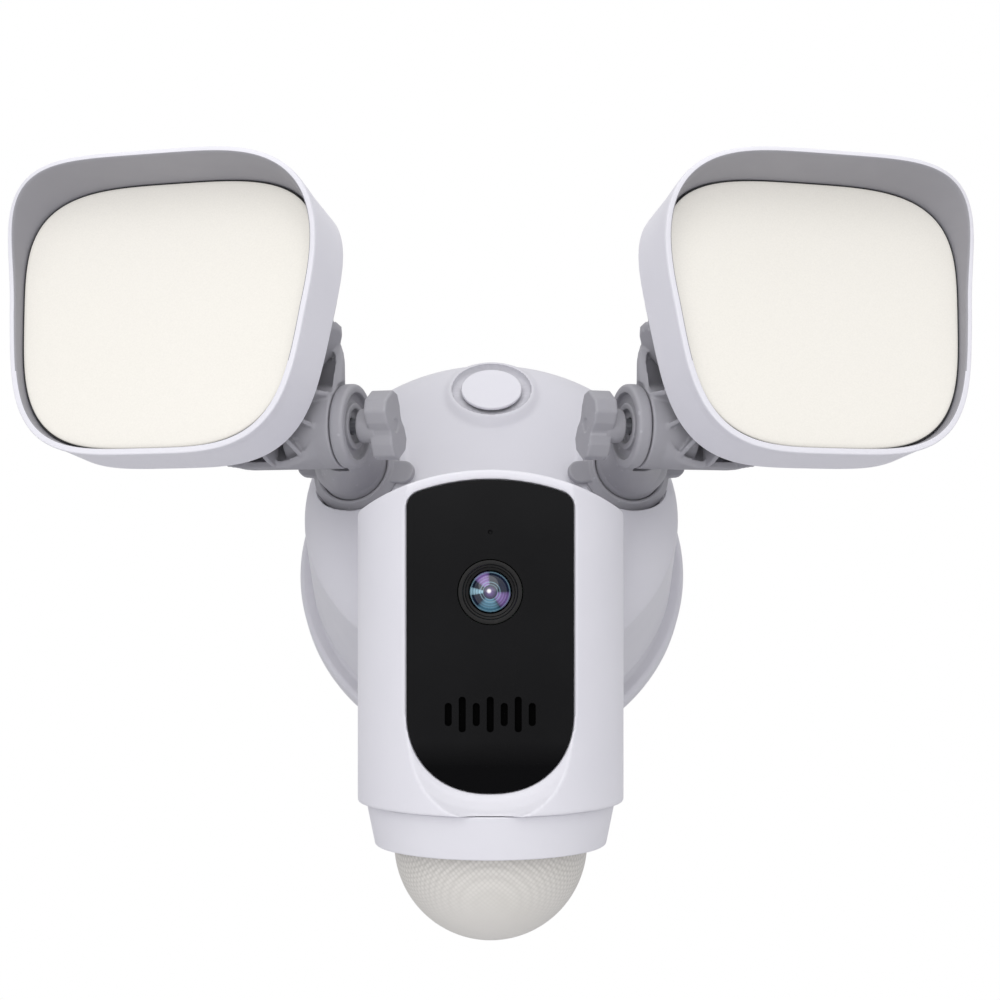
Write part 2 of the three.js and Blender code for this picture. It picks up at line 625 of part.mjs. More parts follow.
// The recess that the window sits in, its walls leaning outwards towards the front.
function windowRecess() {
  const ringAt = (grow, z) =>
    windowOutline(grow).getSpacedPoints(47).map((p) => new THREE.Vector3(p.x, p.y, z));
  const floor = WINDOW.z - WINDOW.thickness - 0.3;
  return loft([ringAt(0.45, floor), ringAt(0.45, WINDOW.z + 0.1), ringAt(10, WINDOW.z + 11)]);
}

function headFrontShell() {
  const { radius, bottom, split } = HEAD;
  const foot = [[0, bottom - 2], [radius - 1.4, bottom - 2], [radius + 2.6, bottom + 2], [90, bottom + 2]];
  const chamfered = upright(revolve([...foot, [90, 60], [0, 60]], 30));
  const body = overlap(headBody(0), chamfered, box(120, 140, 120, 0, -50, split + 60));
  const depth = WINDOW.z - 4 - split + 20;
  const hollow = overlap(headBody(WALL), box(120, 140, depth, 0, -50, WINDOW.z - 4 - depth / 2));
  const opening = upright(disc(34, bottom - 5, bottom + 8, 24));
  const lensWay = disc(11, 20, 40, 28).translate(0, LENS.y, 0);
  const soundWay = prism(roundedRectangle(32, 12, 3), 20, 40, 3).translate(0, SLOT.y, 0);
  const micHole = across(disc(0.8, 0, 60, 12), 0, -17, 3);
  return cut(body, hollow, windowRecess(), opening, lensWay, soundWay, micHole);
}

function headRearShell() {
  const { radius, bottom } = HEAD;
  const side = [[0, bottom], [radius - 1.4, bottom], [radius, bottom + 1.6], [radius, bottom + 6]];
  const foot = upright(revolve([...side, [16, bottom + 23], [0, bottom + 23]], 28));
  const scooped = cut(headBody(0), box(120, 26, 40, 0, -56, -30));
  const room = box(120, 200, 120, 0, 0, HEAD.split - GAP - 60);
  const back = overlap(join(scooped, foot), room);
  const footSide = [[0, bottom - 3], [radius - WALL, bottom - 3], [radius - WALL, bottom + 5]];
  const hollowFoot = upright(revolve([...footSide, [12, bottom + 20], [0, bottom + 20]], 20));
  const hollow = join(cut(headBody(WALL), box(130, 32, 42, 0, -56, -28.6)), hollowFoot);
  const ears = [7.6, -7.6].flatMap((x) => [
    across(disc(NECK.lug, -1.8, 1.8, 20), x, NECK.y, NECK.z),
    box(3.6, NECK.lug * 2, 10, x, NECK.y, NECK.z + 5),
  ]);
  const pinHole = across(disc(NECK.pin + 0.1, -20, 20, 12), 0, NECK.y, NECK.z);
  const opening = upright(disc(34, bottom - 5, bottom + 4, 24));
  return cut(join(cut(back, hollow), ...ears), pinHole, opening);
}

function frontWindow() {
  const slot = (i) => {
    const outline = roundedRectangle(SLOT.width, i % 2 ? SLOT.short : SLOT.long, SLOT.width / 2 - 0.05);
    return prism(outline, 20, 40, 2).translate(i * SLOT.pitch, SLOT.y, 0);
  };
  const pane = prism(windowOutline(0), WINDOW.z - WINDOW.thickness, WINDOW.z, 8);
  const lensWay = disc(LENS.ring + 0.3, 20, 40, 24).translate(0, LENS.y, 0);
  return cut(pane, lensWay, ...[-3, -2, -1, 0, 1, 2, 3].map(slot));
}

function bottomSkirt() {
  const { top, bottom, wide, narrow } = SKIRT;
  const lip = [[PIR.radius + 0.6, bottom + 1], [PIR.radius + 1.2, bottom]];
  const side = [[narrow - 0.8, bottom], [narrow, bottom + 0.8], [wide, top]];
  const inside = [[33, top], [33, top + 4], [30.6, top + 4], [30.6, bottom + 3.6]];
  return upright(revolve([...lip, ...side, ...inside], 40));
}

function pirDome() {
  const { radius, wall } = PIR;
  const { bottom } = SKIRT;
  const rim = [[radius, bottom + 3.2], [radius - wall, bottom + 3.2]];
  const outer = arc(0, bottom, radius, -90, 0, 7).slice(1);
  const inner = arc(0, bottom, radius - wall, 0, -90, 5).slice(0, -1);
  const profile = [[0, bottom - radius], ...outer, ...rim, ...inner, [0, bottom - radius + wall]];
  return upright(revolve(profile, 26));
}

// A solid of revolution on the lens axis, its heights measured from the front of the window.
const onLens = (profile, segments = 24) => revolve(profile, segments).translate(0, LENS.y, WINDOW.z);

function lensRing() {
  const { ring: outer, bore, glass } = LENS;
  return onLens([[outer, -9], [outer, 0.3], [bore, 0.3], [glass + 0.4, -2.4], [glass + 0.4, -9]], 32);
}

function lensGlass() {
  const crown = arc(0, -9.8, 9.6, 51, 90, 4).slice(1, -1);
  return onLens([[0, -3.4], [LENS.glass, -3.4], [LENS.glass, -2.4], ...crown, [0, -0.2]], 28);
}

function speaker() {
  const cone = [[0, -14], [11, -14], [13, -8], [13, -5], [0, -5]];
  return revolve(cone, 24).translate(0, SLOT.y, WINDOW.z);
}

function pirSensor() {
  const can = [[0, -116], [4.6, -116], [4.6, -111.4], [5.4, -111.4], [5.4, -110.6], [0, -110.6]];
  return upright(revolve(can, 16));
}

function headParts() {
  const mainBoard = prism(roundedRectangle(46, 56, 2), 5.4, 7, 3).translate(0, -40, 0);
  const microphone = across(disc(2, -2, 2, 20), HEAD.radius - WALL - 3.4, -17, 3);
  const head = assembly(
    "camera_head",
    piece("head_front_shell", headFrontShell(), "white"),
    piece("head_rear_shell", headRearShell(), "white"),
    piece("front_window", frontWindow(), "gloss"),
    piece("lens_ring", lensRing(), "black"),
    piece("lens_barrel", onLens([[0, -22], [5.6, -22], [5.6, -3.8], [0, -3.8]]), "black"),
    piece("lens_glass", lensGlass(), "glass"),
    piece("image_sensor", box(14, 14, 1.6, 0, LENS.y, WINDOW.z - 23.3), "board"),
    piece("main_board", mainBoard, "board"),
    piece("speaker", speaker(), "black"),
    piece("microphone", microphone, "black"),
    piece("bottom_skirt", bottomSkirt(), "white"),
    piece("pir_dome", pirDome(), "fresnel"),
    piece("pir_sensor", pirSensor(), "steel"),
    piece("pir_board", upright(disc(20, -110.2, -108.6, 28)), "board"),
    piece("wifi_antenna", box(6, 30, 1, -26, -60, 2), "copper"),
  );
  head.position.set(0, HEAD.y, HEAD.z);
  head.rotation.x = degrees(HEAD.tilt);
  return head;
}

function neckParts() {
  const low = neckSeat;
  const onAxis = (geometry) => geometry.translate(0, pivot.y, 0);
  const flange = onAxis(disc(10.5, low, low + NECK.flange, 24));
  const stem = onAxis(disc(3.8, low - 12, low + 1, 16));
  const knuckle = across(disc(NECK.lug - 0.4, -5.4, 5.4, 20), 0, pivot.y, pivot.z);
  const web = box(10.8, 9, 7, 0, pivot.y, pivot.z - 3.6);
  const pinHole = across(disc(NECK.pin + 0.1, -20, 20, 12), 0, pivot.y, pivot.z);
  const pin = across(disc(NECK.pin, -10, 10, 12), 0, pivot.y, pivot.z);
  return assembly(
    "neck",
    piece("neck_lug", cut(join(flange, stem, knuckle, web), pinHole), "white"),
    piece("neck_nut", onAxis(ring(7.4, 4.9, low - 9, low - 6, 6)), "steel"),
    piece("tilt_pin", pin, "steel"),
  );
}

// ---------------------------------------------------------------- the whole object

const sides = [side("left"), side("right")];
const camera = assembly("floodlight_camera", baseParts(), neckParts(), headParts(), ...sides);
camera.rotation.x = Math.PI / 2;

export default camera;
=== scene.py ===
import json
import math

import bmesh
import bpy
from mathutils import Matrix, Vector

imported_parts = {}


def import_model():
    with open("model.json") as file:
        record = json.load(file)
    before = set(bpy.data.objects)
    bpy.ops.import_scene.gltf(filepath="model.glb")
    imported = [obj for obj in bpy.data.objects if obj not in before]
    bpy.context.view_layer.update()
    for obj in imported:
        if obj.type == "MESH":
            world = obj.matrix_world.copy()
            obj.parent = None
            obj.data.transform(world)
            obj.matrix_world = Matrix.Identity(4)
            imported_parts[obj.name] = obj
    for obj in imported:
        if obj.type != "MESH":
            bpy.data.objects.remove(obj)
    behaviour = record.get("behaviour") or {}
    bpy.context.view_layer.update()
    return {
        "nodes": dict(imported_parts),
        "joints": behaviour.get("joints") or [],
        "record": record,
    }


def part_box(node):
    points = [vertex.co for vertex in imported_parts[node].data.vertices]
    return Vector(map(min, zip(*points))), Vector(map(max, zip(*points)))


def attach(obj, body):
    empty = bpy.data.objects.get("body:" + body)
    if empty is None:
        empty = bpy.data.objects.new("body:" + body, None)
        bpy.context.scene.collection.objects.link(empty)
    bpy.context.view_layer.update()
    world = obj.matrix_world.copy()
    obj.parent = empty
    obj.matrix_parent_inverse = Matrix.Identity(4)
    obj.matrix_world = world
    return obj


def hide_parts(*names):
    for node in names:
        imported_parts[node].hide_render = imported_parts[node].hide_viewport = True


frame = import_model()
nodes = frame["nodes"]
joints = {joint["name"]: joint for joint in frame["joints"]}

# ---------------------------------------------------------------- driving dimensions, in millimetres

MM = 0.001
WALL = 2.2

RIM = {"radius": 67.6, "depth": 13}
DRUM = {"radius": 63.4, "hidden": 8}
DOME = {"seat": 57.5, "lift": 10, "edge": 63, "shoulder": 20, "steep": 66, "shallow": 10}
CAP = {"height": 43.6, "depth": 61.6, "lift": 22, "disc": 10.3, "groove": 13.5, "ring": 16.9, "rise": 2}

ARM = {"swivel": 7.3, "reach": 33.5}
TURRET = {"radius": 11.5, "ear": 13.4, "inner": 15, "outer": 10.4}
COLLAR = {"radius": 15.2, "height": 4.8, "tab": 21, "turn": 12}
KNOB = {"length": 21.5, "lobe": 12.4, "waist": 10.4, "corner": 2.8, "start": 20.4, "thick": 7.6, "lean": -50}

LAMP = {"x": 38.6, "y": 26.4, "z": 38.4, "tilt": 6, "width": 97.7, "height": 87.6, "taper": 0.11}
SQUARE = 3.5
HOOD = {"top": 20.5, "side": 4.3, "bottom": 2, "sweep": 2.4, "wall": 2.3, "back": 19.5}
HOOD_CORNERS = (4.3, 3.9)
REAR_CORNERS = (3.9, 3.8)
HORN = {"x": 12.5, "y": 10.2, "z": 7.5, "width": 47, "height": 51.5, "corner": 19, "wall": 2.2, "rib": 1.4}

HEAD = {"tilt": 25.5, "radius": 41.3, "top": 9, "shoulder": -4, "bottom": -93, "rear": -14, "split": -4}
WINDOW = {"z": 33, "half": 24.8, "top": 6, "arch": 66, "centre": -62.2, "round": 0.9, "thickness": 1.4}
LENS = {"y": -27.3, "ring": 9.5, "bore": 8.3, "glass": 6.1}
SLOT = {"y": -63.6, "pitch": 4.15, "width": 2.1, "short": 6.9, "long": 10.6}
SKIRT = {"top": -94.4, "bottom": -106.5, "wide": 38.6, "narrow": 35.9}
PIR = {"radius": 30, "wall": 1.6}
NECK = {"y": -14, "z": -20.6}

LAMP_POINTS = 180
RIBS = 10
KNOB_EDGE = 35  # degrees, as is the next
CAD_CREASE = 32
# name of the mesh colour attribute that holds the lens's painted reflections
LENS_REFLECTION = "painted_lens_reflection"

# ---------------------------------------------------------------- places


def turn(angle, axis):
    return Matrix.Rotation(math.radians(angle), 4, axis)


def move(x=0, y=0, z=0):
    return Matrix.Translation((x, y, z))


def place(origin, x_axis, z_axis):
    """Millimetres in a local frame to metres in the part's frame."""
    x, z = Vector(x_axis).normalized(), Vector(z_axis).normalized()
    rotation = Matrix((x, z.cross(x), z)).transposed().to_4x4()
    return Matrix.Translation(origin) @ rotation @ Matrix.Scale(MM, 4)


def node_centre(node):
    low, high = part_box(node)
    return (low + high) / 2


SWIVEL = joints["right_swivel"]
HEAD_TILT = joints["head_tilt"]
FRONT = place((0, 0, 0), (1, 0, 0), (0, -1, 0))
ON_SWIVEL = place(SWIVEL["pos_m"], joints["right_tilt"]["axis"], SWIVEL["axis"])
ON_COLLAR = ON_SWIVEL @ turn(-ARM["swivel"], "Z")
ON_HINGE = ON_SWIVEL @ move(z=ARM["reach"])
ON_LAMP = ON_HINGE @ turn(LAMP["tilt"], "X") @ move(LAMP["x"], LAMP["y"], LAMP["z"])
AT_PIN = place(HEAD_TILT["pos_m"], (1, 0, 0), (0, -1, 0))
ON_HEAD = AT_PIN @ turn(HEAD["tilt"], "X") @ move(0, -NECK["y"], -NECK["z"])
ON_CAP = FRONT @ move(0, CAP["height"], CAP["depth"]) @ turn(-CAP["lift"], "X")
AT_HUB = move(-LAMP["x"], -LAMP["y"], -LAMP["z"])
UPRIGHT = turn(-90, "X")
ACROSS = turn(90, "Y")

# ---------------------------------------------------------------- mesh building


def as_object(bm, name="solid"):
    bmesh.ops.recalc_face_normals(bm, faces=bm.faces)
    mesh = bpy.data.meshes.new(name)
    bm.to_mesh(mesh)
    bm.free()
    obj = bpy.data.objects.new(name, mesh)
    bpy.context.scene.collection.objects.link(obj)
    return obj


def skin(rings, poles=(None, None), closed=False):
    """A surface through rings of equally many points, ended by flat caps, by poles, or closed on itself."""
    bm = bmesh.new()
    rows = [[bm.verts.new(point) for point in ring] for ring in rings]
    following = rows[1:] + (rows[:1] if closed else [])
    for low, high in zip(rows, following):
        for i in range(len(low)):
            j = (i + 1) % len(low)
            bm.faces.new((low[i], low[j], high[j], high[i]))
    ends = () if closed else ((rows[0], poles[0]), (rows[-1], poles[1]))
    for row, pole in ends:
        if pole is None:
            bm.faces.new(row)
            continue
        hub = bm.verts.new(pole)
        for i in range(len(row)):
            bm.faces.new((row[i], row[(i + 1) % len(row)], hub))
    return as_object(bm)


def eased(profile, size, steps=3, closed=False):
    """A profile with each corner rounded off over `size`. Its points may have any number of values."""
    points = [Vector(point) for point in profile]
    count = len(points)
    out = []
    for i, point in enumerate(points):
        if not closed and i in (0, count - 1):
            out.append(point)
            continue
        before = points[i - 1] - point
        after = points[(i + 1) % count] - point
        reach = min(size, before.length * 0.45, after.length * 0.45)
        start = point + before.normalized() * reach
        end = point + after.normalized() * reach
        for k in range(steps + 1):
            u = k / steps
            out.append(start * (1 - u) ** 2 + point * (2 * u * (1 - u)) + end * u**2)
    return out


def lathe(profile, segments=128, ease=0.0):
    """A solid of revolution about z. The profile runs from axis to axis, or is a closed loop."""
    on_axis = profile[0][0] == 0
    points = eased(profile, ease, closed=not on_axis) if ease else profile
    turns = [2 * math.pi * i / segments for i in range(segments)]
    rings = [[(r * math.cos(t), r * math.sin(t), h) for t in turns] for r, h in points if r > 0]
    poles = [(0, 0, points[0][1]), (0, 0, points[-1][1])]
    return skin(rings, poles) if on_axis else skin(rings, closed=True)


def arc(radius, height, size, start, end, steps):
    angles = [math.radians(start + (end - start) * i / steps) for i in range(steps + 1)]
    return [(radius + size * math.cos(a), height + size * math.sin(a)) for a in angles]


def disc(radius, low, high, segments=96, ease=0.0):
    return lathe([(0, low), (radius, low), (radius, high), (0, high)], segments, ease)


def slab(outline, low, high):
    return skin([[(x, y, z) for x, y in outline] for z in (low, high)])


def rounded_rectangle(width, height, corner, steps=10):
    x, y = width / 2 - corner, height / 2 - corner
    corners = ((x, -y, -90), (x, y, 0), (-x, y, 90), (-x, -y, 180))
    outline = []
    for cx, cy, start in corners:
        outline += arc(cx, cy, corner, start, start + 90, steps)
    return outline


def block(x0, x1, y0, y1, z0, z1):
    return slab([(x0, y0), (x1, y0), (x1, y1), (x0, y1)], z0, z1)


def wrap(*parts):
    """The convex skin round several parts."""
    bm = bmesh.new()
    for part in parts:
        for vertex in part.data.vertices:
            bm.verts.new(vertex.co)
        bpy.data.objects.remove(part)
    made = bmesh.ops.convex_hull(bm, input=bm.verts)
    spare = {g for g in made["geom_interior"] + made["geom_unused"] if isinstance(g, bmesh.types.BMVert)}
    bmesh.ops.delete(bm, geom=list(spare), context="VERTS")
    return as_object(bm)


def bake(obj):
    """Applies an object's modifiers to its mesh."""
    graph = bpy.context.evaluated_depsgraph_get()
    mesh = bpy.data.meshes.new_from_object(obj.evaluated_get(graph))
    obj.modifiers.clear()
    obj.data = mesh
    return obj


def combine(operation, body, *tools):
    for tool in tools:
        modifier = body.modifiers.new(operation, "BOOLEAN")
        modifier.operation = operation
        modifier.solver = "MANIFOLD"
        modifier.object = tool
    bake(body)
    for tool in tools:
        bpy.data.objects.remove(tool)
    return body


def join(body, *more):
    return combine("UNION", body, *more)


def cut(body, *tools):
    return combine("DIFFERENCE", body, *tools)


def meet(body, *tools):
    return combine("INTERSECT", body, *tools)


def moved(obj, *steps):
    for step in steps:
        obj.data.transform(step)
    return obj


def soften(obj, voxel, repeats):
    """Rounds every edge and fillets every inner corner, the way moulded plastic has them."""
    remesh = obj.modifiers.new("grid", "REMESH")
    remesh.mode = "VOXEL"
    remesh.voxel_size = voxel
    smooth = obj.modifiers.new("smooth", "SMOOTH")
    smooth.factor = 0.5
    smooth.iterations = repeats
    return bake(obj)


def bevelled(obj, width):
    bevel = obj.modifiers.new("bevel", "BEVEL")
    bevel.width = width
    bevel.segments = 3
    bevel.limit_method = "ANGLE"
    bevel.angle_limit = math.radians(KNOB_EDGE)
    return bake(obj)


def paint(obj, finish):
    """Gives a mesh one finish, whatever it had before."""
    obj.data.materials.clear()
    obj.data.materials.append(MATERIALS[finish])


def finish_piece(obj, name, body, where, material, *cad_nodes):
    """Puts a piece in its place, gives it its finish, and lets it stand for CAD nodes."""
    obj.name = name
    obj.data.transform(where)
    if where.determinant() < 0:
        obj.data.flip_normals()
    obj.data.shade_smooth()
    if not any(obj.data.materials):
        paint(obj, material)
    normals = obj.modifiers.new("normals", "WEIGHTED_NORMAL")
    normals.keep_sharp = True
    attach(obj, body)
    if cad_nodes:
        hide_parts(*cad_nodes)
    return obj


def both_sides(obj, part, body, where, material, *cad_parts):
    """One piece for the right side and its mirror image for the left."""
    left = obj.copy()
    left.data = obj.data.copy()
    bpy.context.scene.collection.objects.link(left)
    mirror = Matrix.Scale(-1, 4, (1, 0, 0))
    for side, piece, there in (("right", obj, where), ("left", left, mirror @ where)):
        stands_for = [f"{side}_{node}" for node in cad_parts]
        finish_piece(piece, f"{side}_{part}", f"{side}_{body}", there, material, *stands_for)


# ---------------------------------------------------------------- materials


def linear(value):
    return value / 12.92 if value <= 0.04045 else ((value + 0.055) / 1.055) ** 2.4


def tone(red, green, blue):
    return (linear(red / 255), linear(green / 255), linear(blue / 255), 1)


class Nodes:
    """A material's node tree, with short calls for the nodes that the finishes share."""

    def __init__(self, name):
        self.material = bpy.data.materials.new(name)
        self.material.use_nodes = True
        self.tree = self.material.node_tree
        self.shader = self.tree.nodes["Principled BSDF"]
        self.place = self.tree.nodes.new("ShaderNodeTexCoord").outputs["Object"]

    def add(self, kind, **sockets):
        node = self.tree.nodes.new(kind)
        for name, value in sockets.items():
            self.set(node, name.replace("_", " "), value)
        return node

    def set(self, node, name, value):
        if isinstance(value, bpy.types.NodeSocket):
            self.tree.links.new(value, node.inputs[name])
        else:
            node.inputs[name].default_value = value

    def noise(self, scale, detail=4, roughness=0.55):
        settings = {"Scale": scale, "Detail": detail, "Roughness": roughness}
        return self.add("ShaderNodeTexNoise", Vector=self.place, **settings)

    def spread(self, value, low, high, start=0.3, end=0.7):
        node = self.add("ShaderNodeMapRange", Value=value)
        for name, number in (("From Min", start), ("From Max", end), ("To Min", low), ("To Max", high)):
            node.inputs[name].default_value = number
        return node.outputs["Result"]

    def mix(self, factor, first, second):
        node = self.tree.nodes.new("ShaderNodeMix")
        node.data_type = "RGBA"
        self.set(node, "Factor", factor)
        for index, value in ((6, first), (7, second)):
            if isinstance(value, bpy.types.NodeSocket):
                self.tree.links.new(value, node.inputs[index])
            else:
                node.inputs[index].default_value = value
        return node.outputs[2]

    def height(self):
        split = self.tree.nodes.new("ShaderNodeSeparateXYZ")
        self.tree.links.new(self.place, split.inputs[0])
        return split.outputs["Z"]

    def edges(self):
        """1 on the outer edges of the mesh, 0 elsewhere."""
        geometry = self.tree.nodes.new("ShaderNodeNewGeometry")
        return self.spread(geometry.outputs["Pointiness"], 0, 1, 0.51, 0.6)

    def bump(self, height, strength, distance, normal=None):
        node = self.add("ShaderNodeBump", Height=height, Strength=strength, Distance=distance)
        if normal is not None:
            self.tree.links.new(normal, node.inputs["Normal"])
        return node.outputs["Normal"]


def moulded(name, base, shade, worn_and_highlight, roughness, grain=0.25, gloss=0.35):
    """Injection-moulded plastic: spark-eroded grain, faint flow patches, and edges painted lighter, for
    rubbed wear and a painted edge highlight.
    """
    n = Nodes(name)
    patches = n.noise(18, 3).outputs["Fac"]
    grains = n.noise(2600, 2).outputs["Fac"]
    colour = n.mix(n.spread(patches, 0, 1), tone(*base), tone(*shade))
    # Edges are painted lighter: partly rubbed wear, partly a painted highlight for the light that edges
    # catch.
    colour = n.mix(n.spread(n.edges(), 0, 0.5, 0, 1), colour, tone(*worn_and_highlight))
    n.set(n.shader, "Base Color", colour)
    rough = n.spread(n.noise(90, 5).outputs["Fac"], roughness - 0.05, roughness + 0.07)
    n.set(n.shader, "Roughness", rough)
    n.set(n.shader, "Specular IOR Level", gloss)
    ripple = n.bump(patches, 0.08, 0.0006)
    n.set(n.shader, "Normal", n.bump(grains, grain, 0.00006, ripple))
    return n.material


def diffuser_finish(name):
    """Opal sheet lit from behind, its glow faintly patchy."""
    n = Nodes(name)
    cloud = n.noise(12, 2).outputs["Fac"]
    speckle = n.noise(1900, 2).outputs["Fac"]
    glow = n.mix(n.spread(cloud, 0, 1), tone(244, 241, 233), tone(247, 244, 238))
    n.set(n.shader, "Base Color", n.mix(n.spread(speckle, 0, 1), tone(200, 197, 190), tone(206, 203, 196)))
    n.set(n.shader, "Emission Color", glow)
    n.set(n.shader, "Emission Strength", 0.3)
    n.set(n.shader, "Roughness", n.spread(speckle, 0.42, 0.55))
    n.set(n.shader, "Normal", n.bump(speckle, 0.15, 0.00005))
    return n.material


def gloss_finish(name):
    """Polished black acrylic with faint haze and dust, and a painted reflection that makes it deeper black
    below the speaker slots.
    """
    n = Nodes(name)
    haze = n.noise(26, 3).outputs["Fac"]
    dust = n.noise(1500, 3).outputs["Fac"]
    smoke = n.mix(n.spread(haze, 0, 1), tone(18, 18, 19), tone(23, 23, 24))
    # Below this height, under the speaker slots, the pane is painted deeper black: a painted reflection.
    low = (ON_HEAD @ Vector((0, SLOT["y"] - 9, WINDOW["z"]))).z
    above_painted_reflection_edge = n.spread(n.height(), 0, 1, low - 0.006, low + 0.001)
    n.set(n.shader, "Base Color", n.mix(above_painted_reflection_edge, tone(2, 2, 3), smoke))
    n.set(n.shader, "Roughness", n.spread(dust, 0.12, 0.2))
    n.set(n.shader, "Specular IOR Level", 0.06)
    n.set(n.shader, "Normal", n.bump(haze, 0.03, 0.0004))
    return n.material


def fresnel_finish(name):
    """Milky polyethylene dome with rows of fine lenslets that fade out towards its lowest point."""
    n = Nodes(name)
    lattice = n.add("ShaderNodeMapping", Vector=n.place, Rotation=(0.61, 0.0, 0.79))
    cells = n.add("ShaderNodeTexVoronoi", Vector=lattice.outputs["Vector"], Scale=820.0, Randomness=0.1)
    milk = n.noise(40, 3).outputs["Fac"]
    low, high = (corner.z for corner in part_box("pir_dome"))
    upper = n.spread(n.height(), 0, 1, low + (high - low) * 0.06, low + (high - low) * 0.36)
    lenslet = n.spread(cells.outputs["Distance"], 0, 1, 0.25, 0.75)
    shown = n.add("ShaderNodeMath")
    shown.operation = "MULTIPLY"
    n.tree.links.new(lenslet, shown.inputs[0])
    n.tree.links.new(upper, shown.inputs[1])
    relief = shown.outputs[0]
    colour = n.mix(n.spread(milk, 0, 1), tone(221, 218, 212), tone(225, 222, 217))
    n.set(n.shader, "Base Color", n.mix(n.spread(relief, 0, 1, 0, 1), colour, tone(196, 193, 187)))
    n.set(n.shader, "Roughness", n.spread(milk, 0.4, 0.5))
    n.set(n.shader, "Specular IOR Level", 0.3)
    n.set(n.shader, "Normal", n.bump(relief, 0.25, 0.0002))
    return n.material


def rubber_finish(name):
    n = Nodes(name)
    grain = n.noise(900, 5).outputs["Fac"]
    bloom = n.noise(60, 4).outputs["Fac"]
    n.set(n.shader, "Base Color", n.mix(n.spread(bloom, 0, 1), tone(34, 34, 36), tone(52, 52, 54)))
    n.set(n.shader, "Roughness", n.spread(grain, 0.75, 0.92))
    n.set(n.shader, "Normal", n.bump(grain, 0.3, 0.0001))
    return n.material


def metal_finish(name, bright, dull, roughness, stretch):
    """Bare or plated metal with a drawn grain along one direction."""
    n = Nodes(name)
    mapping = n.add("ShaderNodeMapping", Vector=n.place, Scale=stretch)
    drawn = n.add("ShaderNodeTexNoise", Vector=mapping.outputs["Vector"], Scale=260.0, Detail=6.0)
    stain = n.noise(70, 4).outputs["Fac"]
    n.set(n.shader, "Base Color", n.mix(n.spread(stain, 0, 1), tone(*bright), tone(*dull)))
    n.set(n.shader, "Metallic", 1.0)
    n.set(n.shader, "Roughness", n.spread(drawn.outputs["Fac"], roughness - 0.08, roughness + 0.12))
    n.set(n.shader, "Normal", n.bump(drawn.outputs["Fac"], 0.12, 0.00008))
    return n.material


def board_finish(name):
    """Solder mask with faint tracks under it."""
    n = Nodes(name)
    tracks = n.add("ShaderNodeTexWave", Vector=n.place, Scale=140.0, Distortion=6.0, Detail=2.0)
    weave = n.noise(700, 3).outputs["Fac"]
    colour = n.mix(n.spread(tracks.outputs["Fac"], 0, 1, 0.45, 0.6), tone(22, 84, 50), tone(36, 112, 70))
    n.set(n.shader, "Base Color", colour)
    n.set(n.shader, "Roughness", n.spread(weave, 0.28, 0.42))
    n.set(n.shader, "Normal", n.bump(weave, 0.1, 0.00005))
    return n.material


def lens_finish(name):
    """Coated glass, dark and polished, showing the painted reflections stored on its mesh: violet and teal
    sectors and rings, a dark centre and a white glint.
    """
    n = Nodes(name)
    swirl = n.noise(150, 2).outputs["Fac"]
    painted_lens_reflection = n.add("ShaderNodeAttribute")
    painted_lens_reflection.attribute_name = LENS_REFLECTION
    tint = n.mix(n.spread(swirl, 0, 0.15), painted_lens_reflection.outputs["Color"], tone(60, 60, 110))
    n.set(n.shader, "Base Color", tint)
    n.set(n.shader, "Roughness", n.spread(swirl, 0.02, 0.06))
    n.set(n.shader, "Specular IOR Level", 0.5)
    n.set(n.shader, "Coat Weight", 0.4)
    n.set(n.shader, "Coat Roughness", 0.02)
    return n.material


# base and shade colours, an edge colour (rubbed wear and painted edge highlight), roughness, then grain and
# gloss where they differ from the usual
MOULDED = {
    "white_plastic": ((226, 225, 231), (221, 220, 227), (234, 233, 238), 0.48),
    "grey_plastic": ((160, 159, 164), (154, 153, 159), (184, 183, 188), 0.5),
    "hood_plastic": ((229, 228, 234), (224, 223, 230), (238, 237, 242), 0.5),
    "black_plastic": ((11, 11, 12), (8, 8, 9), (26, 26, 27), 0.5, 0.25, 0.1),
    "lens_ring": ((15, 14, 14), (11, 10, 10), (34, 32, 30), 0.4, 0.25, 0.25),
    # near-black, matt: painted shadow inside the speaker slots
    "painted_slot_shadow": ((4, 4, 4), (2, 2, 2), (9, 9, 9), 0.9, 0.8, 0.02),
    # a greyer copy of the white plastic for the wall base: painted shade where the head and lamps keep light
    # off it
    "base_painted_shade": ((213, 212, 218), (208, 207, 214), (224, 223, 229), 0.48),
    # a darker copy of the hood plastic: painted shade for the inside of the hood
    "hood_inner_painted_shade": ((158, 157, 162), (152, 151, 157), (176, 175, 180), 0.55),
}
# bright and dull colours, roughness, then how the drawn grain is stretched
METALS = {
    "zinc_steel": ((196, 198, 202), (168, 170, 174), 0.36, (1, 9, 9)),
    "aluminium_plate": ((208, 209, 211), (184, 186, 189), 0.42, (9, 1, 9)),
    "copper_winding": ((190, 116, 66), (150, 86, 46), 0.4, (1, 1, 14)),
}
MATERIALS = {
    **{name: moulded(name, *look) for name, look in MOULDED.items()},
    "diffuser_plastic": diffuser_finish("diffuser_plastic"),
    "gloss_black": gloss_finish("gloss_black"),
    "fresnel_plastic": fresnel_finish("fresnel_plastic"),
    "black_rubber": rubber_finish("black_rubber"),
    **{name: metal_finish(name, *look) for name, look in METALS.items()},
    "circuit_board": board_finish("circuit_board"),
    "lens_glass": lens_finish("lens_glass"),
}


def finish_cad_nodes():
    """The CAD nodes that stay take their slot's finish, with soft edges between their facets."""
    slots = {row["node"]: row["material_slot"] for row in frame["record"]["subparts"]}
    for name, node in nodes.items():
        paint(node, slots[name])
        node.data.shade_smooth()
        split = node.modifiers.new("edges", "EDGE_SPLIT")
        split.split_angle = math.radians(CAD_CREASE)


# ---------------------------------------------------------------- wall base


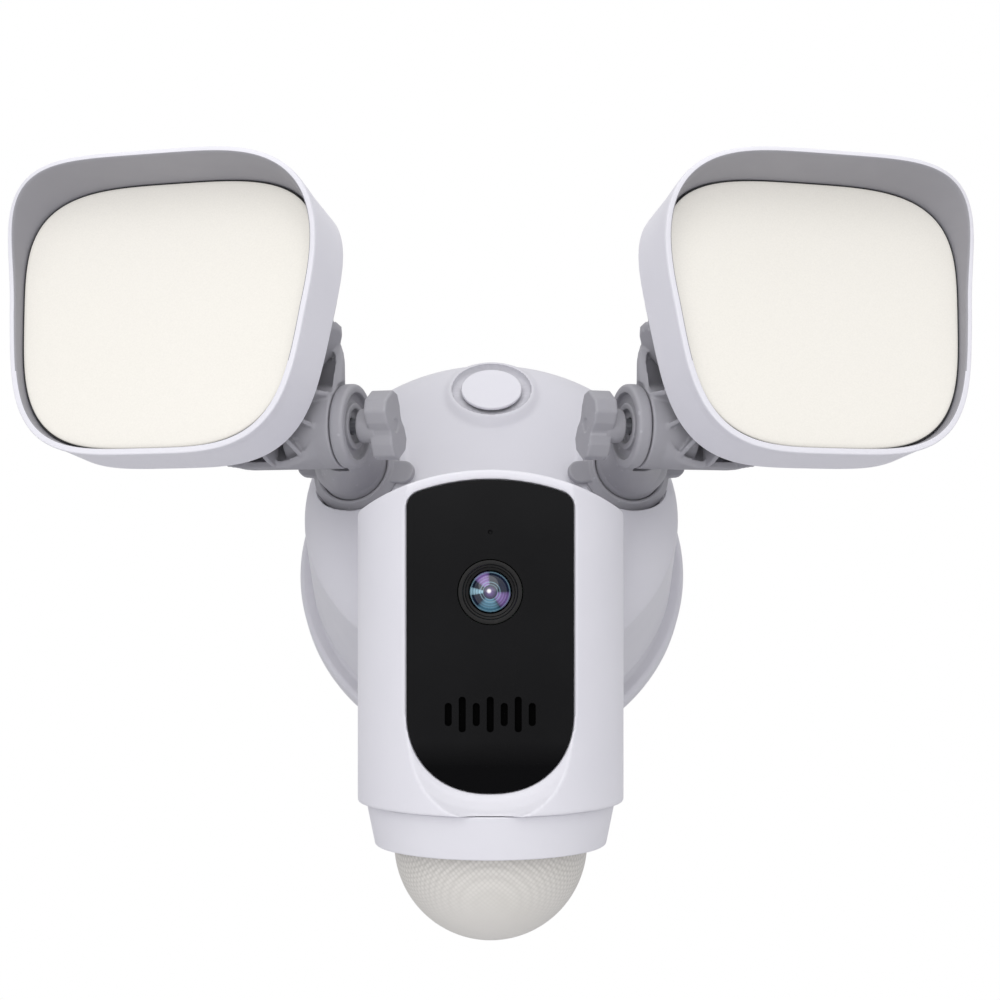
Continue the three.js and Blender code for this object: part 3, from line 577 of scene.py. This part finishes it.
def dome_body(inset, low=-45):
    steep, shallow = math.radians(DOME["steep"]), math.radians(DOME["shallow"])
    centre = DOME["edge"] - DOME["shoulder"] * math.sin(steep)
    floor = -DOME["shoulder"] * math.cos(steep)
    size = DOME["shoulder"] - inset
    shoulder = arc(centre, floor, size, 90 - DOME["steep"], 90 - DOME["shallow"], 14)
    radius, height = shoulder[-1]
    crown = radius / math.sin(shallow)
    top = arc(0, height - crown * math.cos(shallow), crown, 90 - DOME["shallow"], 90, 10)[1:-1]
    skirt = [(0, low), (95, low), (95, shoulder[0][1])]
    peak = (0, height + crown * (1 - math.cos(shallow)))
    return moved(lathe(skirt + shoulder + top + [peak]), turn(-DOME["lift"], "X"), move(z=DOME["seat"]))


def drum_body(inset, low):
    radius = DRUM["radius"] - inset
    return lathe([(0, low), (radius, low), (radius - 1.4, 90), (0, 90)])


def on_both_arms(profile):
    parts = []
    for mirror in (Matrix.Identity(4), Matrix.Scale(-1, 4, (1, 0, 0))):
        part = moved(lathe(profile, 96), FRONT.inverted() @ mirror @ ON_COLLAR)
        if mirror.determinant() < 0:
            part.data.flip_normals()
        parts.append(part)
    return parts


def base_cover():
    top = 0.9 - COLLAR["height"]
    neck = COLLAR["radius"] + 0.3
    on_cap = FRONT.inverted() @ ON_CAP
    outside = meet(drum_body(0, DRUM["hidden"]), dome_body(0))
    flare = [(neck + 8.2 + 8 * dx, -4.5 + 7 * dz) for dx, dz in arc(0, 0, 1, 265, 180, 10)]
    bosses = on_both_arms([(0, -24), (neck + 9, -24), *flare, (neck, top), (0, top)])
    bosses = [meet(boss, drum_body(0, DRUM["hidden"])) for boss in bosses]
    slope = [(CAP["ring"] + 2, -6), (CAP["ring"], 0), (CAP["groove"] + 0.9, CAP["rise"])]
    cap_ring = moved(lathe([(0, -6), *slope, (0, CAP["rise"])]), on_cap)
    shell = cut(join(outside, *bosses, cap_ring), meet(drum_body(WALL, 5), dome_body(WALL)))
    shell = soften(shell, 0.62, 7)
    well = moved(disc(CAP["groove"], -0.4, 9), on_cap)
    bore = [(8.9, -30), (8.9, -6.9), (11.4, -6.9), (11.4, top), (neck + 0.2, top), (neck + 0.2, 8)]
    shell = cut(shell, well, moved(disc(7.6, -12, 5), on_cap), *on_both_arms([(0, -30), *bore, (0, 8)]))
    # The cover is painted greyer than the other white parts: painted shade.
    paint(shell, "base_painted_shade")
    finish_piece(shell, "base_cover_shell", "base", FRONT, "white_plastic", "base_cover")


def base_rim():
    lip = DRUM["radius"] - 1.5
    radius, depth = RIM["radius"], RIM["depth"]
    floor = [(0, 2.3), (radius - 1.8, 2.3), (radius, 4.2)]
    edge = arc(radius - 1.8, depth - 2, 2, 0, 90, 8)
    fillet = arc(lip + 1.9, depth + 1.8, 1.8, 270, 180, 6)
    tray = lathe([*floor, *edge, *fillet, (lip, depth + 1.8), (lip, 5), (0, 5)], 192)
    hole = moved(disc(11, 0, 8), move(node_centre("wire_grommet").x / MM))
    bolt = moved(disc(3.4, 0, 12), move(y=CAP["height"]))
    tray = cut(tray, hole, bolt)
    # The rim is painted greyer than the other white parts: painted shade.
    paint(tray, "base_painted_shade")
    finish_piece(tray, "base_rim", "base", FRONT, "white_plastic", "base_shell")


def service_cap():
    edge, rise = CAP["disc"], CAP["rise"]
    plug = [(0, -7), (6.6, -7), (7.2, -6.2), (7.2, 0.9)]
    face = [(edge, 0.9), (edge, rise + 0.1), (edge - 3, rise + 0.3), (0, rise + 0.35)]
    cap = lathe(plug + face, 128, 0.45)
    finish_piece(cap, "service_cap_disc", "service_cap", ON_CAP, "white_plastic", "service_cap")


# ---------------------------------------------------------------- arms


def arm_collar():
    low, outer, bore = 1.1 - COLLAR["height"], COLLAR["radius"], TURRET["radius"] + 0.3
    side = [(bore, low), (outer, low), (outer, -2.8), (outer - 1.8, -0.9), (bore + 1, 0), (bore, -0.3)]
    tab = slab(rounded_rectangle(COLLAR["tab"] * 2, 7.6, 3.7), low + 0.2, low + 2.4)
    tab = moved(cut(tab, disc(bore + 0.7, low - 1, 2)), turn(COLLAR["turn"], "Z"))
    collar = soften(join(lathe(side), tab), 0.3, 4)
    both_sides(collar, "collar_ring", "collar", ON_COLLAR, "grey_plastic", "collar")


def arm_turret():
    radius, ear, inner, outer = TURRET["radius"], TURRET["ear"], TURRET["inner"], TURRET["outer"]
    hinge = (ACROSS, move(z=ARM["reach"]))
    foot = [(0, -14), (8.4, -14), (8.4, -4.2), (radius, -4.2), (radius, 4)]
    stub = lathe([*foot, *arc(0, 4, radius, 8, 82, 12), (0, 4 + radius)])
    cheek = moved(disc(ear, -inner, -outer, 128, 1.2), *hinge)
    elbow_end = moved(disc(ear - 3, -inner + 0.8, -outer), *hinge)
    elbow = wrap(disc(radius - 0.2, 2, 5), elbow_end)
    hub_room = moved(disc(ear + 0.6, -outer + 0.02, 30), *hinge)
    horn_room = moved(disc(ear + 2.3, -outer + 1.4, 30), *hinge)
    recess = moved(disc(10.6, -inner - 2, -inner + 2), *hinge)
    lip_low, lip_high = -inner + 0.6, -inner + 3
    lip = lathe([(5.4, lip_low), (7.4, lip_low), (7.4, lip_high), (5.4, lip_high)])
    lip = moved(lip, *hinge)
    bore = moved(disc(2.7, -30, 30, 48), *hinge)
    turret = join(cut(join(stub, cheek, elbow), hub_room, horn_room, recess), lip)
    turret = soften(cut(turret, bore, disc(4.6, -16, 8)), 0.34, 5)
    both_sides(turret, "turret_knuckle", "turret", ON_SWIVEL, "grey_plastic", "turret")


def knob_outline():
    half, lobe, waist = KNOB["length"] / 2, KNOB["lobe"] / 2, KNOB["waist"] / 2
    rise = [(waist, 0.8), (lobe, 3.8), (lobe, half - KNOB["corner"]), (lobe - KNOB["corner"], half)]
    lobe_up = rise + [(-x, y) for x, y in reversed(rise)]
    return lobe_up + [(-x, -y) for x, y in lobe_up]


def wing_knob():
    wing = bevelled(slab(knob_outline(), 0, KNOB["thick"]), 0.7)
    stem = disc(5.5, -4.4, 2, 96, 0.8)
    bore = disc(2.7, -6, KNOB["thick"] - 2.5, 48)
    recess = lathe([(0, KNOB["thick"] - 0.5), (2.2, KNOB["thick"] - 0.5), (2.6, 12), (0, 12)])
    knob = soften(cut(join(wing, stem), bore, recess), 0.24, 3)
    moved(knob, turn(KNOB["lean"], "Z"), turn(-90, "Y"), move(-KNOB["start"]))
    both_sides(knob, "knob_wing", "knob", ON_HINGE, "grey_plastic", "wing_knob")


# ---------------------------------------------------------------- lamps


def hood_edge(v):
    """How far the hood stands out in front of the diffuser, from the bottom (v -1) to the top (v 1)."""
    if v > 0:
        return HOOD["side"] + (HOOD["top"] - HOOD["side"]) * v ** HOOD["sweep"]
    return HOOD["side"] + (HOOD["side"] - HOOD["bottom"]) * v


def lamp_ring(grow, z, hood=0.0, top=SQUARE, bottom=SQUARE):
    """The lamp's outline grown by `grow`, at depth z plus a share of the hood's reach."""

    def point(angle):
        c, s = math.cos(angle), math.sin(angle)
        square = top if s > 0 else bottom
        r = (abs(c) ** square + abs(s) ** square) ** (-1 / square)
        v = r * s
        return Vector((r * c * (1 + LAMP["taper"] * v) * LAMP["width"] / 2, v * LAMP["height"] / 2)), v

    ring = []
    for i in range(LAMP_POINTS):
        even = 2 * math.pi * i / LAMP_POINTS
        angle = even + 0.13 * math.sin(4 * even)
        here, v = point(angle)
        along = (point(angle + 0.01)[0] - point(angle - 0.01)[0]).normalized()
        height = z + (hood * hood_edge(v) if hood else 0)
        ring.append((here.x + along.y * grow, here.y - along.x * grow, height))
    return ring


def lamp_skin(section, ease, closed=False):
    """A skin through lamp rings, with eased corners. A row is grow, depth, hood share, squareness."""
    rows = [tuple(row) + (0, SQUARE, SQUARE)[len(row) - 2:] for row in section]
    return skin([lamp_ring(*row) for row in eased(rows, ease, closed=closed)], closed=closed)


def lamp_bezel():
    outer, back = HOOD["wall"] + 0.3, -HOOD["back"]
    section = [
        (1, back, 0, *REAR_CORNERS),
        (outer - 0.5, -2, 0, *REAR_CORNERS),
        (outer, 0, 1, *HOOD_CORNERS),
        (0.4, 0, 1, *HOOD_CORNERS),
        (0.4, -2.8, 0, SQUARE, SQUARE),
        (-3, -2.8),
        (-3, -4.6),
        (-1.4, -4.6),
        (-1.4, back),
    ]
    hood = lamp_skin(section, 0.5, closed=True)
    hood.data.materials.append(MATERIALS["hood_plastic"])
    hood.data.materials.append(MATERIALS["hood_inner_painted_shade"])
    # Inward-facing faces in front of the diffuser take the darker hood material: painted shade inside the
    # hood.
    for face in hood.data.polygons:
        inward = face.normal.dot(Vector((-face.center.x, -face.center.y, 0)).normalized())
        if face.center.z > -2.8 and inward > 0.35:
            face.material_index = 1
    both_sides(hood, "hood", "lamp", ON_LAMP, "hood_plastic", "lamp_bezel")


def lamp_diffuser():
    section = [(-0.9, -2.5), (-0.15, -1.4), (-0.15, -0.3), (-1.2, 0), (-12, 0.1)]
    both_sides(lamp_skin(section, 0.4), "opal", "lamp", ON_LAMP, "diffuser_plastic", "lamp_diffuser")
    lip = [(-0.6, -2.5), (0.25, -2.5), (0.25, -0.5), (-0.1, -0.5), (-0.1, -1.5)]
    seal = lamp_skin(lip, 0.1, closed=True)
    both_sides(seal, "seal", "lamp", ON_LAMP, "black_rubber", "lamp_gasket")


def horn_rim(inset, low, high):
    size = (HORN["width"] - 2 * inset, HORN["height"] - 2 * inset, HORN["corner"] - inset)
    outline = rounded_rectangle(*size)
    return moved(slab(outline, HORN["z"] + low, HORN["z"] + high), move(HORN["x"], HORN["y"]), AT_HUB)


def lamp_housing():
    back = HOOD["back"] + 0.35
    rise = [(-16, -back - 5.8), (-7, -back - 4.4), (0.2, -back - 1.4), (0.6, -back)]
    rise += [(-1.8, -back), (-1.8, -10.2)]
    hollow = [(-17, -back - 3.8), (-8, -back - 2.4), (-4, -back), (-4, -8)]
    dish = lamp_skin(rise, 1.6)
    inside = lamp_skin(hollow, 1.0)

    hub_face = -TURRET["outer"] + 0.3
    ear = TURRET["ear"]
    hub = moved(disc(ear, hub_face, 6, 96, 0.4), ACROSS, AT_HUB)
    horn = wrap(moved(disc(ear, hub_face + 5, 5), ACROSS, AT_HUB), horn_rim(0, -2, 0))
    mouth = wrap(moved(disc(6, 9, 13), ACROSS, move(0, 2, 4), AT_HUB), horn_rim(HORN["wall"], -1, 9))
    plate = skin([lamp_ring(-0.2, -back - 1.5), lamp_ring(-0.2, -back - 0.4)])
    envelope = wrap(horn_rim(0.4, -1, -0.4), plate)
    ribs = []
    for i in range(RIBS):
        rib = block(0, 90, -HORN["rib"] / 2, HORN["rib"] / 2, 0, 40)
        ribs.append(moved(rib, turn((i + 0.5) * 360 / RIBS, "Z"), move(9, 1), AT_HUB))
    ribs = meet(join(*ribs), envelope)
    rooms = [
        moved(disc(ear + 0.8, -30, hub_face), ACROSS, AT_HUB),
        moved(disc(TURRET["radius"] + 1, -40, -14), AT_HUB),
        moved(disc(9.4, hub_face - 0.3, hub_face + 1.8), ACROSS, AT_HUB),
        moved(disc(2.8, -20, 20, 48), ACROSS, AT_HUB),
        moved(disc(4.7, 5.2, 14, 48), ACROSS, AT_HUB),
    ]
    knuckle = cut(join(hub, cut(horn, mouth), ribs), *rooms)
    housing = soften(cut(join(dish, knuckle), inside), 0.45, 2)
    both_sides(housing, "casting", "lamp", ON_LAMP, "grey_plastic", "lamp_housing")


# ---------------------------------------------------------------- camera head


def head_plan(inset):
    """The head seen from above: round in front, with straight sides and small rear corners."""
    radius, rear, corner = HEAD["radius"] - inset, -HEAD["rear"] - inset, 7 - inset / 2
    front = arc(0, 0, radius, 180, 360, 72)
    right = arc(radius - corner, rear - corner, corner, 0, 90, 12)
    left = arc(-radius + corner, rear - corner, corner, 90, 180, 12)
    return front + right + left


def head_arch(inset):
    """The head seen from the front: straight sides under a shallow arch with round shoulders."""
    radius, rise, corner = HEAD["radius"] - inset, HEAD["top"] - HEAD["shoulder"], 3
    size = (HEAD["radius"] ** 2 + rise**2) / (2 * rise)
    centre = HEAD["top"] - size
    reach = math.asin((radius - corner) / (size - inset - corner))
    side_y = centre + (size - inset - corner) * math.cos(reach)
    bend = 90 - math.degrees(reach)
    right = arc(radius - corner, side_y, corner, 0, bend, 10)
    over = arc(0, centre, size - inset, bend, 180 - bend, 40)[1:-1]
    left = arc(-radius + corner, side_y, corner, 180 - bend, 180, 10)
    low = HEAD["bottom"]
    return [(-radius, low), (radius, low)] + right + over + left


def head_body(inset):
    plan = moved(slab(head_plan(inset), HEAD["bottom"] - 1, HEAD["top"] + 1), UPRIGHT)
    return meet(plan, slab(head_arch(inset), -60, 60))


def bulge(value):
    """A circle's sine or cosine, pushed out a little towards a square."""
    return math.copysign(abs(value) ** WINDOW["round"], value)


def window_outline(grow):
    half, corner = WINDOW["half"] + grow, 5 + grow
    size = WINDOW["arch"] + grow
    centre = WINDOW["top"] - WINDOW["arch"]
    reach = math.asin((half - corner) / (size - corner))
    corner_y = centre + (size - corner) * math.cos(reach)
    bend = 90 - math.degrees(reach)
    turns = [math.radians(180 + 180 * i / 64) for i in range(65)]
    bottom = [(half * bulge(math.cos(t)), WINDOW["centre"] + half * bulge(math.sin(t))) for t in turns]
    right = arc(half - corner, corner_y, corner, 0, bend, 12)
    over = arc(0, centre, size, bend, 180 - bend, 24)[1:-1]
    left = arc(-half + corner, corner_y, corner, 180 - bend, 180, 12)
    return bottom + right + over + left


def window_recess():
    dish = [(0.25, -WINDOW["thickness"] - 0.3), (0.25, 0.1), (2.4, 1.3), (4.6, 3.2), (6.4, 5.8), (7.8, 11)]
    return skin([[(x, y, WINDOW["z"] + h) for x, y in window_outline(grow)] for grow, h in dish])


def head_front():
    radius, bottom, split = HEAD["radius"], HEAD["bottom"], HEAD["split"]
    foot = [(0, bottom - 2), (radius - 1.4, bottom - 2), (radius + 2.6, bottom + 2), (90, bottom + 2)]
    chamfered = moved(lathe([*foot, (90, 60), (0, 60)], 160), UPRIGHT)
    body = meet(head_body(0), chamfered, block(-60, 60, -120, 20, split, 80))
    hollow = meet(head_body(WALL), block(-60, 60, -120, 20, -40, WINDOW["z"] - 4))
    opening = moved(disc(34, bottom - 5, bottom + 1.6), UPRIGHT)
    brow = block(-60, 60, -6, 40, WINDOW["z"] + 0.3, 80)
    lens_way = moved(disc(11, 20, 40), move(y=LENS["y"]))
    sound_way = moved(slab(rounded_rectangle(32, 12, 3), 20, 40), move(y=SLOT["y"]))
    mic_hole = moved(disc(0.8, 0, 60, 32), ACROSS, move(0, -17, 3))
    shell = cut(body, hollow, window_recess(), brow, opening, lens_way, sound_way, mic_hole)
    shell = soften(shell, 0.5, 5)
    finish_piece(shell, "head_front", "camera_head", ON_HEAD, "white_plastic", "head_front_shell")


def head_rear():
    radius, bottom = HEAD["radius"], HEAD["bottom"]
    side = [(0, bottom), (radius - 1.4, bottom), (radius, bottom + 1.6), (radius, bottom + 6)]
    foot = moved(lathe([*side, (16, bottom + 23), (0, bottom + 23)], 160), UPRIGHT)
    scooped = cut(head_body(0), block(-60, 60, -69, -43, -50, -10))
    room = block(-60, 60, -120, 60, -124, HEAD["split"] - 0.3)
    back = meet(join(scooped, foot), room)
    inner = [(0, bottom - 3), (radius - WALL, bottom - 3), (radius - WALL, bottom + 5)]
    foot_room = moved(lathe([*inner, (12, bottom + 20), (0, bottom + 20)], 96), UPRIGHT)
    hollow = join(cut(head_body(WALL), block(-65, 65, -72, -40, -49.6, -7.6)), foot_room)
    ears = []
    for x in (7.6, -7.6):
        ears.append(moved(disc(5, -1.8, 1.8), ACROSS, move(x, NECK["y"], NECK["z"])))
        ears.append(block(x - 1.8, x + 1.8, NECK["y"] - 5, NECK["y"] + 5, NECK["z"], NECK["z"] + 10))
    pin_hole = moved(disc(2.1, -20, 20, 48), ACROSS, move(0, NECK["y"], NECK["z"]))
    opening = moved(disc(34, bottom - 5, bottom + 4), UPRIGHT)
    shell = cut(join(cut(back, hollow), *ears), pin_hole, opening)
    shell = soften(shell, 0.55, 4)
    finish_piece(shell, "head_rear", "camera_head", ON_HEAD, "white_plastic", "head_rear_shell")


def front_window():
    pane = slab(window_outline(0), WINDOW["z"] - WINDOW["thickness"], WINDOW["z"])
    slots = []
    for i in range(-3, 4):
        height = SLOT["short"] if i % 2 else SLOT["long"]
        outline = rounded_rectangle(SLOT["width"], height, SLOT["width"] / 2 - 0.05)
        slots.append(moved(slab(outline, 20, 40), move(i * SLOT["pitch"], SLOT["y"])))
    sensor = moved(disc(0.7, WINDOW["z"] - 0.5, 40, 32), move(y=-9.5))
    lens_way = moved(disc(LENS["ring"] + 0.3, 20, 40), move(y=LENS["y"]))
    pane = cut(pane, lens_way, sensor, *slots)
    finish_piece(pane, "window_pane", "camera_head", ON_HEAD, "gloss_black", "front_window")
    # A near-black, matt sheet just behind the pane under the speaker slots: painted shadow for the dark
    # inside the slots.
    shadow_sheet = moved(slab(rounded_rectangle(31, 11.4, 2.8), 30.5, 31.2), move(y=SLOT["y"]))
    paint(shadow_sheet, "painted_slot_shadow")
    finish_piece(shadow_sheet, "painted_slot_shadow", "camera_head", ON_HEAD, "black_plastic")


def paint_lens_reflection(pane):
    """Paints reflections onto the glass by radius and angle: violet, teal and pale sectors and rings for
    what its stacked coatings reflect, a dark centre, and a white painted glint.
    """
    violet, teal, night = Vector((0.36, 0.22, 0.6)), Vector((0.16, 0.42, 0.58)), Vector((0.006, 0.014, 0.03))
    pale = Vector((0.45, 0.75, 0.9))
    reflection_lobes = ((118, 26, violet, 0.85), (178, 13, pale, 0.75), (-28, 30, violet, 0.75), (-95, 40, teal, 0.7))
    layer = pane.data.color_attributes.new(LENS_REFLECTION, "FLOAT_COLOR", "POINT")
    for vertex, cell in zip(pane.data.vertices, layer.data):
        radius = math.hypot(vertex.co.x, vertex.co.y) / LENS["glass"]
        angle = math.degrees(math.atan2(vertex.co.y, vertex.co.x))
        colour = night.copy()
        for middle, half, tint, share in reflection_lobes:
            off = abs((angle - middle + 180) % 360 - 180)
            colour = colour.lerp(tint, share * max(0, 1 - (off / half) ** 4))
        # The bands and rings below are painted reflections, like the sectors above.
        colour *= 0.55 + 0.45 * math.cos(radius * 24) ** 2
        for ring, width in ((0.95, 0.035), (0.48, 0.03), (0.36, 0.02)):
            colour = colour.lerp(pale * 0.7, 0.7 * max(0, 1 - abs(radius - ring) / width))
        if radius < 0.34:
            colour = night.lerp(violet, 0.5 * (1 - radius / 0.34))
        # a painted highlight: a white glint near the middle of the glass
        painted_glint = math.hypot(vertex.co.x + 0.35, vertex.co.y - 0.3)
        colour = colour.lerp(Vector((1, 1, 1)), max(0, 1 - (painted_glint / 0.8) ** 2))
        cell.color = (*colour, 1)


def lens():
    on_lens = ON_HEAD @ move(0, LENS["y"], WINDOW["z"])
    outer, bore, glass = LENS["ring"], LENS["bore"], LENS["glass"] + 0.4
    steps = [(bore, 0.3), (bore - 0.3, -0.7), (bore - 0.8, -0.7), (bore - 1.0, -1.5)]
    steps += [(glass, -1.7), (glass, -9)]
    ring = lathe([(outer, -9), (outer, 0.3), *steps], 160, 0.12)
    paint(ring, "lens_ring")
    finish_piece(ring, "lens_bezel", "camera_head", on_lens, "black_plastic", "lens_ring")
    crown = arc(0, -9.8, 9.6, 51, 90, 48)[1:-1]
    pane = lathe([(0, -3.4), (LENS["glass"], -3.4), (LENS["glass"], -2.4), *crown, (0, -0.2)], 192)
    # paints the reflections onto the glass
    paint_lens_reflection(pane)
    finish_piece(pane, "lens_front_glass", "camera_head", on_lens, "lens_glass", "lens_glass")


def bottom_skirt():
    top, bottom, wide, narrow = SKIRT["top"] + 1.1, SKIRT["bottom"], SKIRT["wide"], SKIRT["narrow"]
    lip = [(PIR["radius"] + 0.6, bottom + 1), (PIR["radius"] + 1.2, bottom)]
    side = [(narrow, bottom), (wide, top)]
    inside = [(33, top), (33, top + 3), (30.6, top + 3), (30.6, bottom + 3.6)]
    skirt = moved(lathe([*lip, *side, *inside], 160, 0.5), UPRIGHT)
    finish_piece(skirt, "skirt_ring", "camera_head", ON_HEAD, "white_plastic", "bottom_skirt")


def pir_dome():
    radius, wall, bottom = PIR["radius"], PIR["wall"], SKIRT["bottom"]
    outer = arc(0, bottom, radius, -89.9, 0, 40)
    inner = arc(0, bottom, radius - wall, 0, -89.9, 24)
    rim = [(radius, bottom + 3.2), (radius - wall, bottom + 3.2)]
    profile = [(0, bottom - radius), *outer, *rim, *inner, (0, bottom - radius + wall)]
    dome = moved(lathe(profile, 128), UPRIGHT)
    finish_piece(dome, "motion_dome", "camera_head", ON_HEAD, "fresnel_plastic", "pir_dome")


# ---------------------------------------------------------------- stage, light and camera, in metres

FLOOR_HEIGHT = -0.6
FLOOR_SIZE = 9
LIGHT_AIM = (0, -0.05, 0)
SKY = ((0.35, (0.36, 0.36, 0.37, 1)), (0.75, (0.84, 0.84, 0.85, 1)))
CAMERA = {"distance": 0.685, "offset": 0.0029, "lens": 79.2}


def stage():
    bm = bmesh.new()
    bmesh.ops.create_grid(bm, x_segments=8, y_segments=8, size=FLOOR_SIZE)
    floor = as_object(bm, "floor")
    floor.location = (0, 0, FLOOR_HEIGHT)
    n = Nodes("floor_paint")
    cloud = n.noise(6).outputs["Fac"]
    n.set(n.shader, "Base Color", n.mix(cloud, tone(216, 216, 218), tone(222, 222, 224)))
    n.set(n.shader, "Roughness", 0.8)
    floor.data.materials.append(n.material)


def world():
    """A soft white surround, brighter above than below."""
    surround = bpy.data.worlds.new("studio")
    bpy.context.scene.world = surround
    surround.use_nodes = True
    tree = surround.node_tree
    background = tree.nodes["Background"]
    backdrop = tree.nodes.new("ShaderNodeBackground")
    seen = tree.nodes.new("ShaderNodeLightPath")
    choice = tree.nodes.new("ShaderNodeMixShader")
    tree.links.new(seen.outputs["Is Camera Ray"], choice.inputs[0])
    tree.links.new(background.outputs[0], choice.inputs[1])
    tree.links.new(backdrop.outputs[0], choice.inputs[2])
    tree.links.new(choice.outputs[0], tree.nodes["World Output"].inputs["Surface"])
    backdrop.inputs["Color"].default_value = (1, 1, 1, 1)
    place = tree.nodes.new("ShaderNodeTexCoord")
    split = tree.nodes.new("ShaderNodeSeparateXYZ")
    ramp = tree.nodes.new("ShaderNodeValToRGB")
    height = tree.nodes.new("ShaderNodeMapRange")
    tree.links.new(place.outputs["Generated"], split.inputs[0])
    tree.links.new(split.outputs["Z"], height.inputs["Value"])
    height.inputs["From Min"].default_value = -1
    tree.links.new(height.outputs["Result"], ramp.inputs[0])
    for element, (position, colour) in zip(ramp.color_ramp.elements, SKY):
        element.color = colour
        element.position = position
    tree.links.new(ramp.outputs["Color"], background.inputs["Color"])
    background.inputs["Strength"].default_value = 1.0


def area_light(name, place, size, power):
    light = bpy.data.lights.new(name, "AREA")
    light.shape = "DISK"
    light.size = size
    light.energy = power
    obj = bpy.data.objects.new(name, light)
    obj.location = place
    obj.rotation_euler = (Vector(LIGHT_AIM) - Vector(place)).to_track_quat("-Z", "Y").to_euler()
    obj.visible_camera = False
    bpy.context.scene.collection.objects.link(obj)


def camera():
    """Straight along the head's own forward axis, from below, a little to the right of the middle."""
    distance, offset = CAMERA["distance"], CAMERA["offset"]
    lean = math.radians(HEAD["tilt"])
    right = Vector((1, 0, 0))
    up = Vector((0, -math.sin(lean), math.cos(lean)))
    back = right.cross(up)
    head_axis = ON_HEAD.translation
    data = bpy.data.cameras.new("camera")
    data.lens = CAMERA["lens"]
    data.clip_start = 0.01
    obj = bpy.data.objects.new("camera", data)
    bpy.context.scene.collection.objects.link(obj)
    stand = Matrix.Translation(head_axis + back * distance + right * offset)
    obj.matrix_world = stand @ Matrix((right, up, back)).transposed().to_4x4()
    bpy.context.scene.camera = obj


def main():
    finish_cad_nodes()
    base_rim()
    base_cover()
    service_cap()
    arm_collar()
    arm_turret()
    wing_knob()
    lamp_bezel()
    lamp_diffuser()
    lamp_housing()
    head_front()
    head_rear()
    front_window()
    lens()
    bottom_skirt()
    pir_dome()
    stage()
    world()
    area_light("key", (-0.14, -1.3, -0.1), 1.7, 10)
    area_light("top", (0.2, -0.5, 1.3), 1.2, 2)
    camera()
    bpy.context.scene.view_settings.view_transform = "Standard"


main()
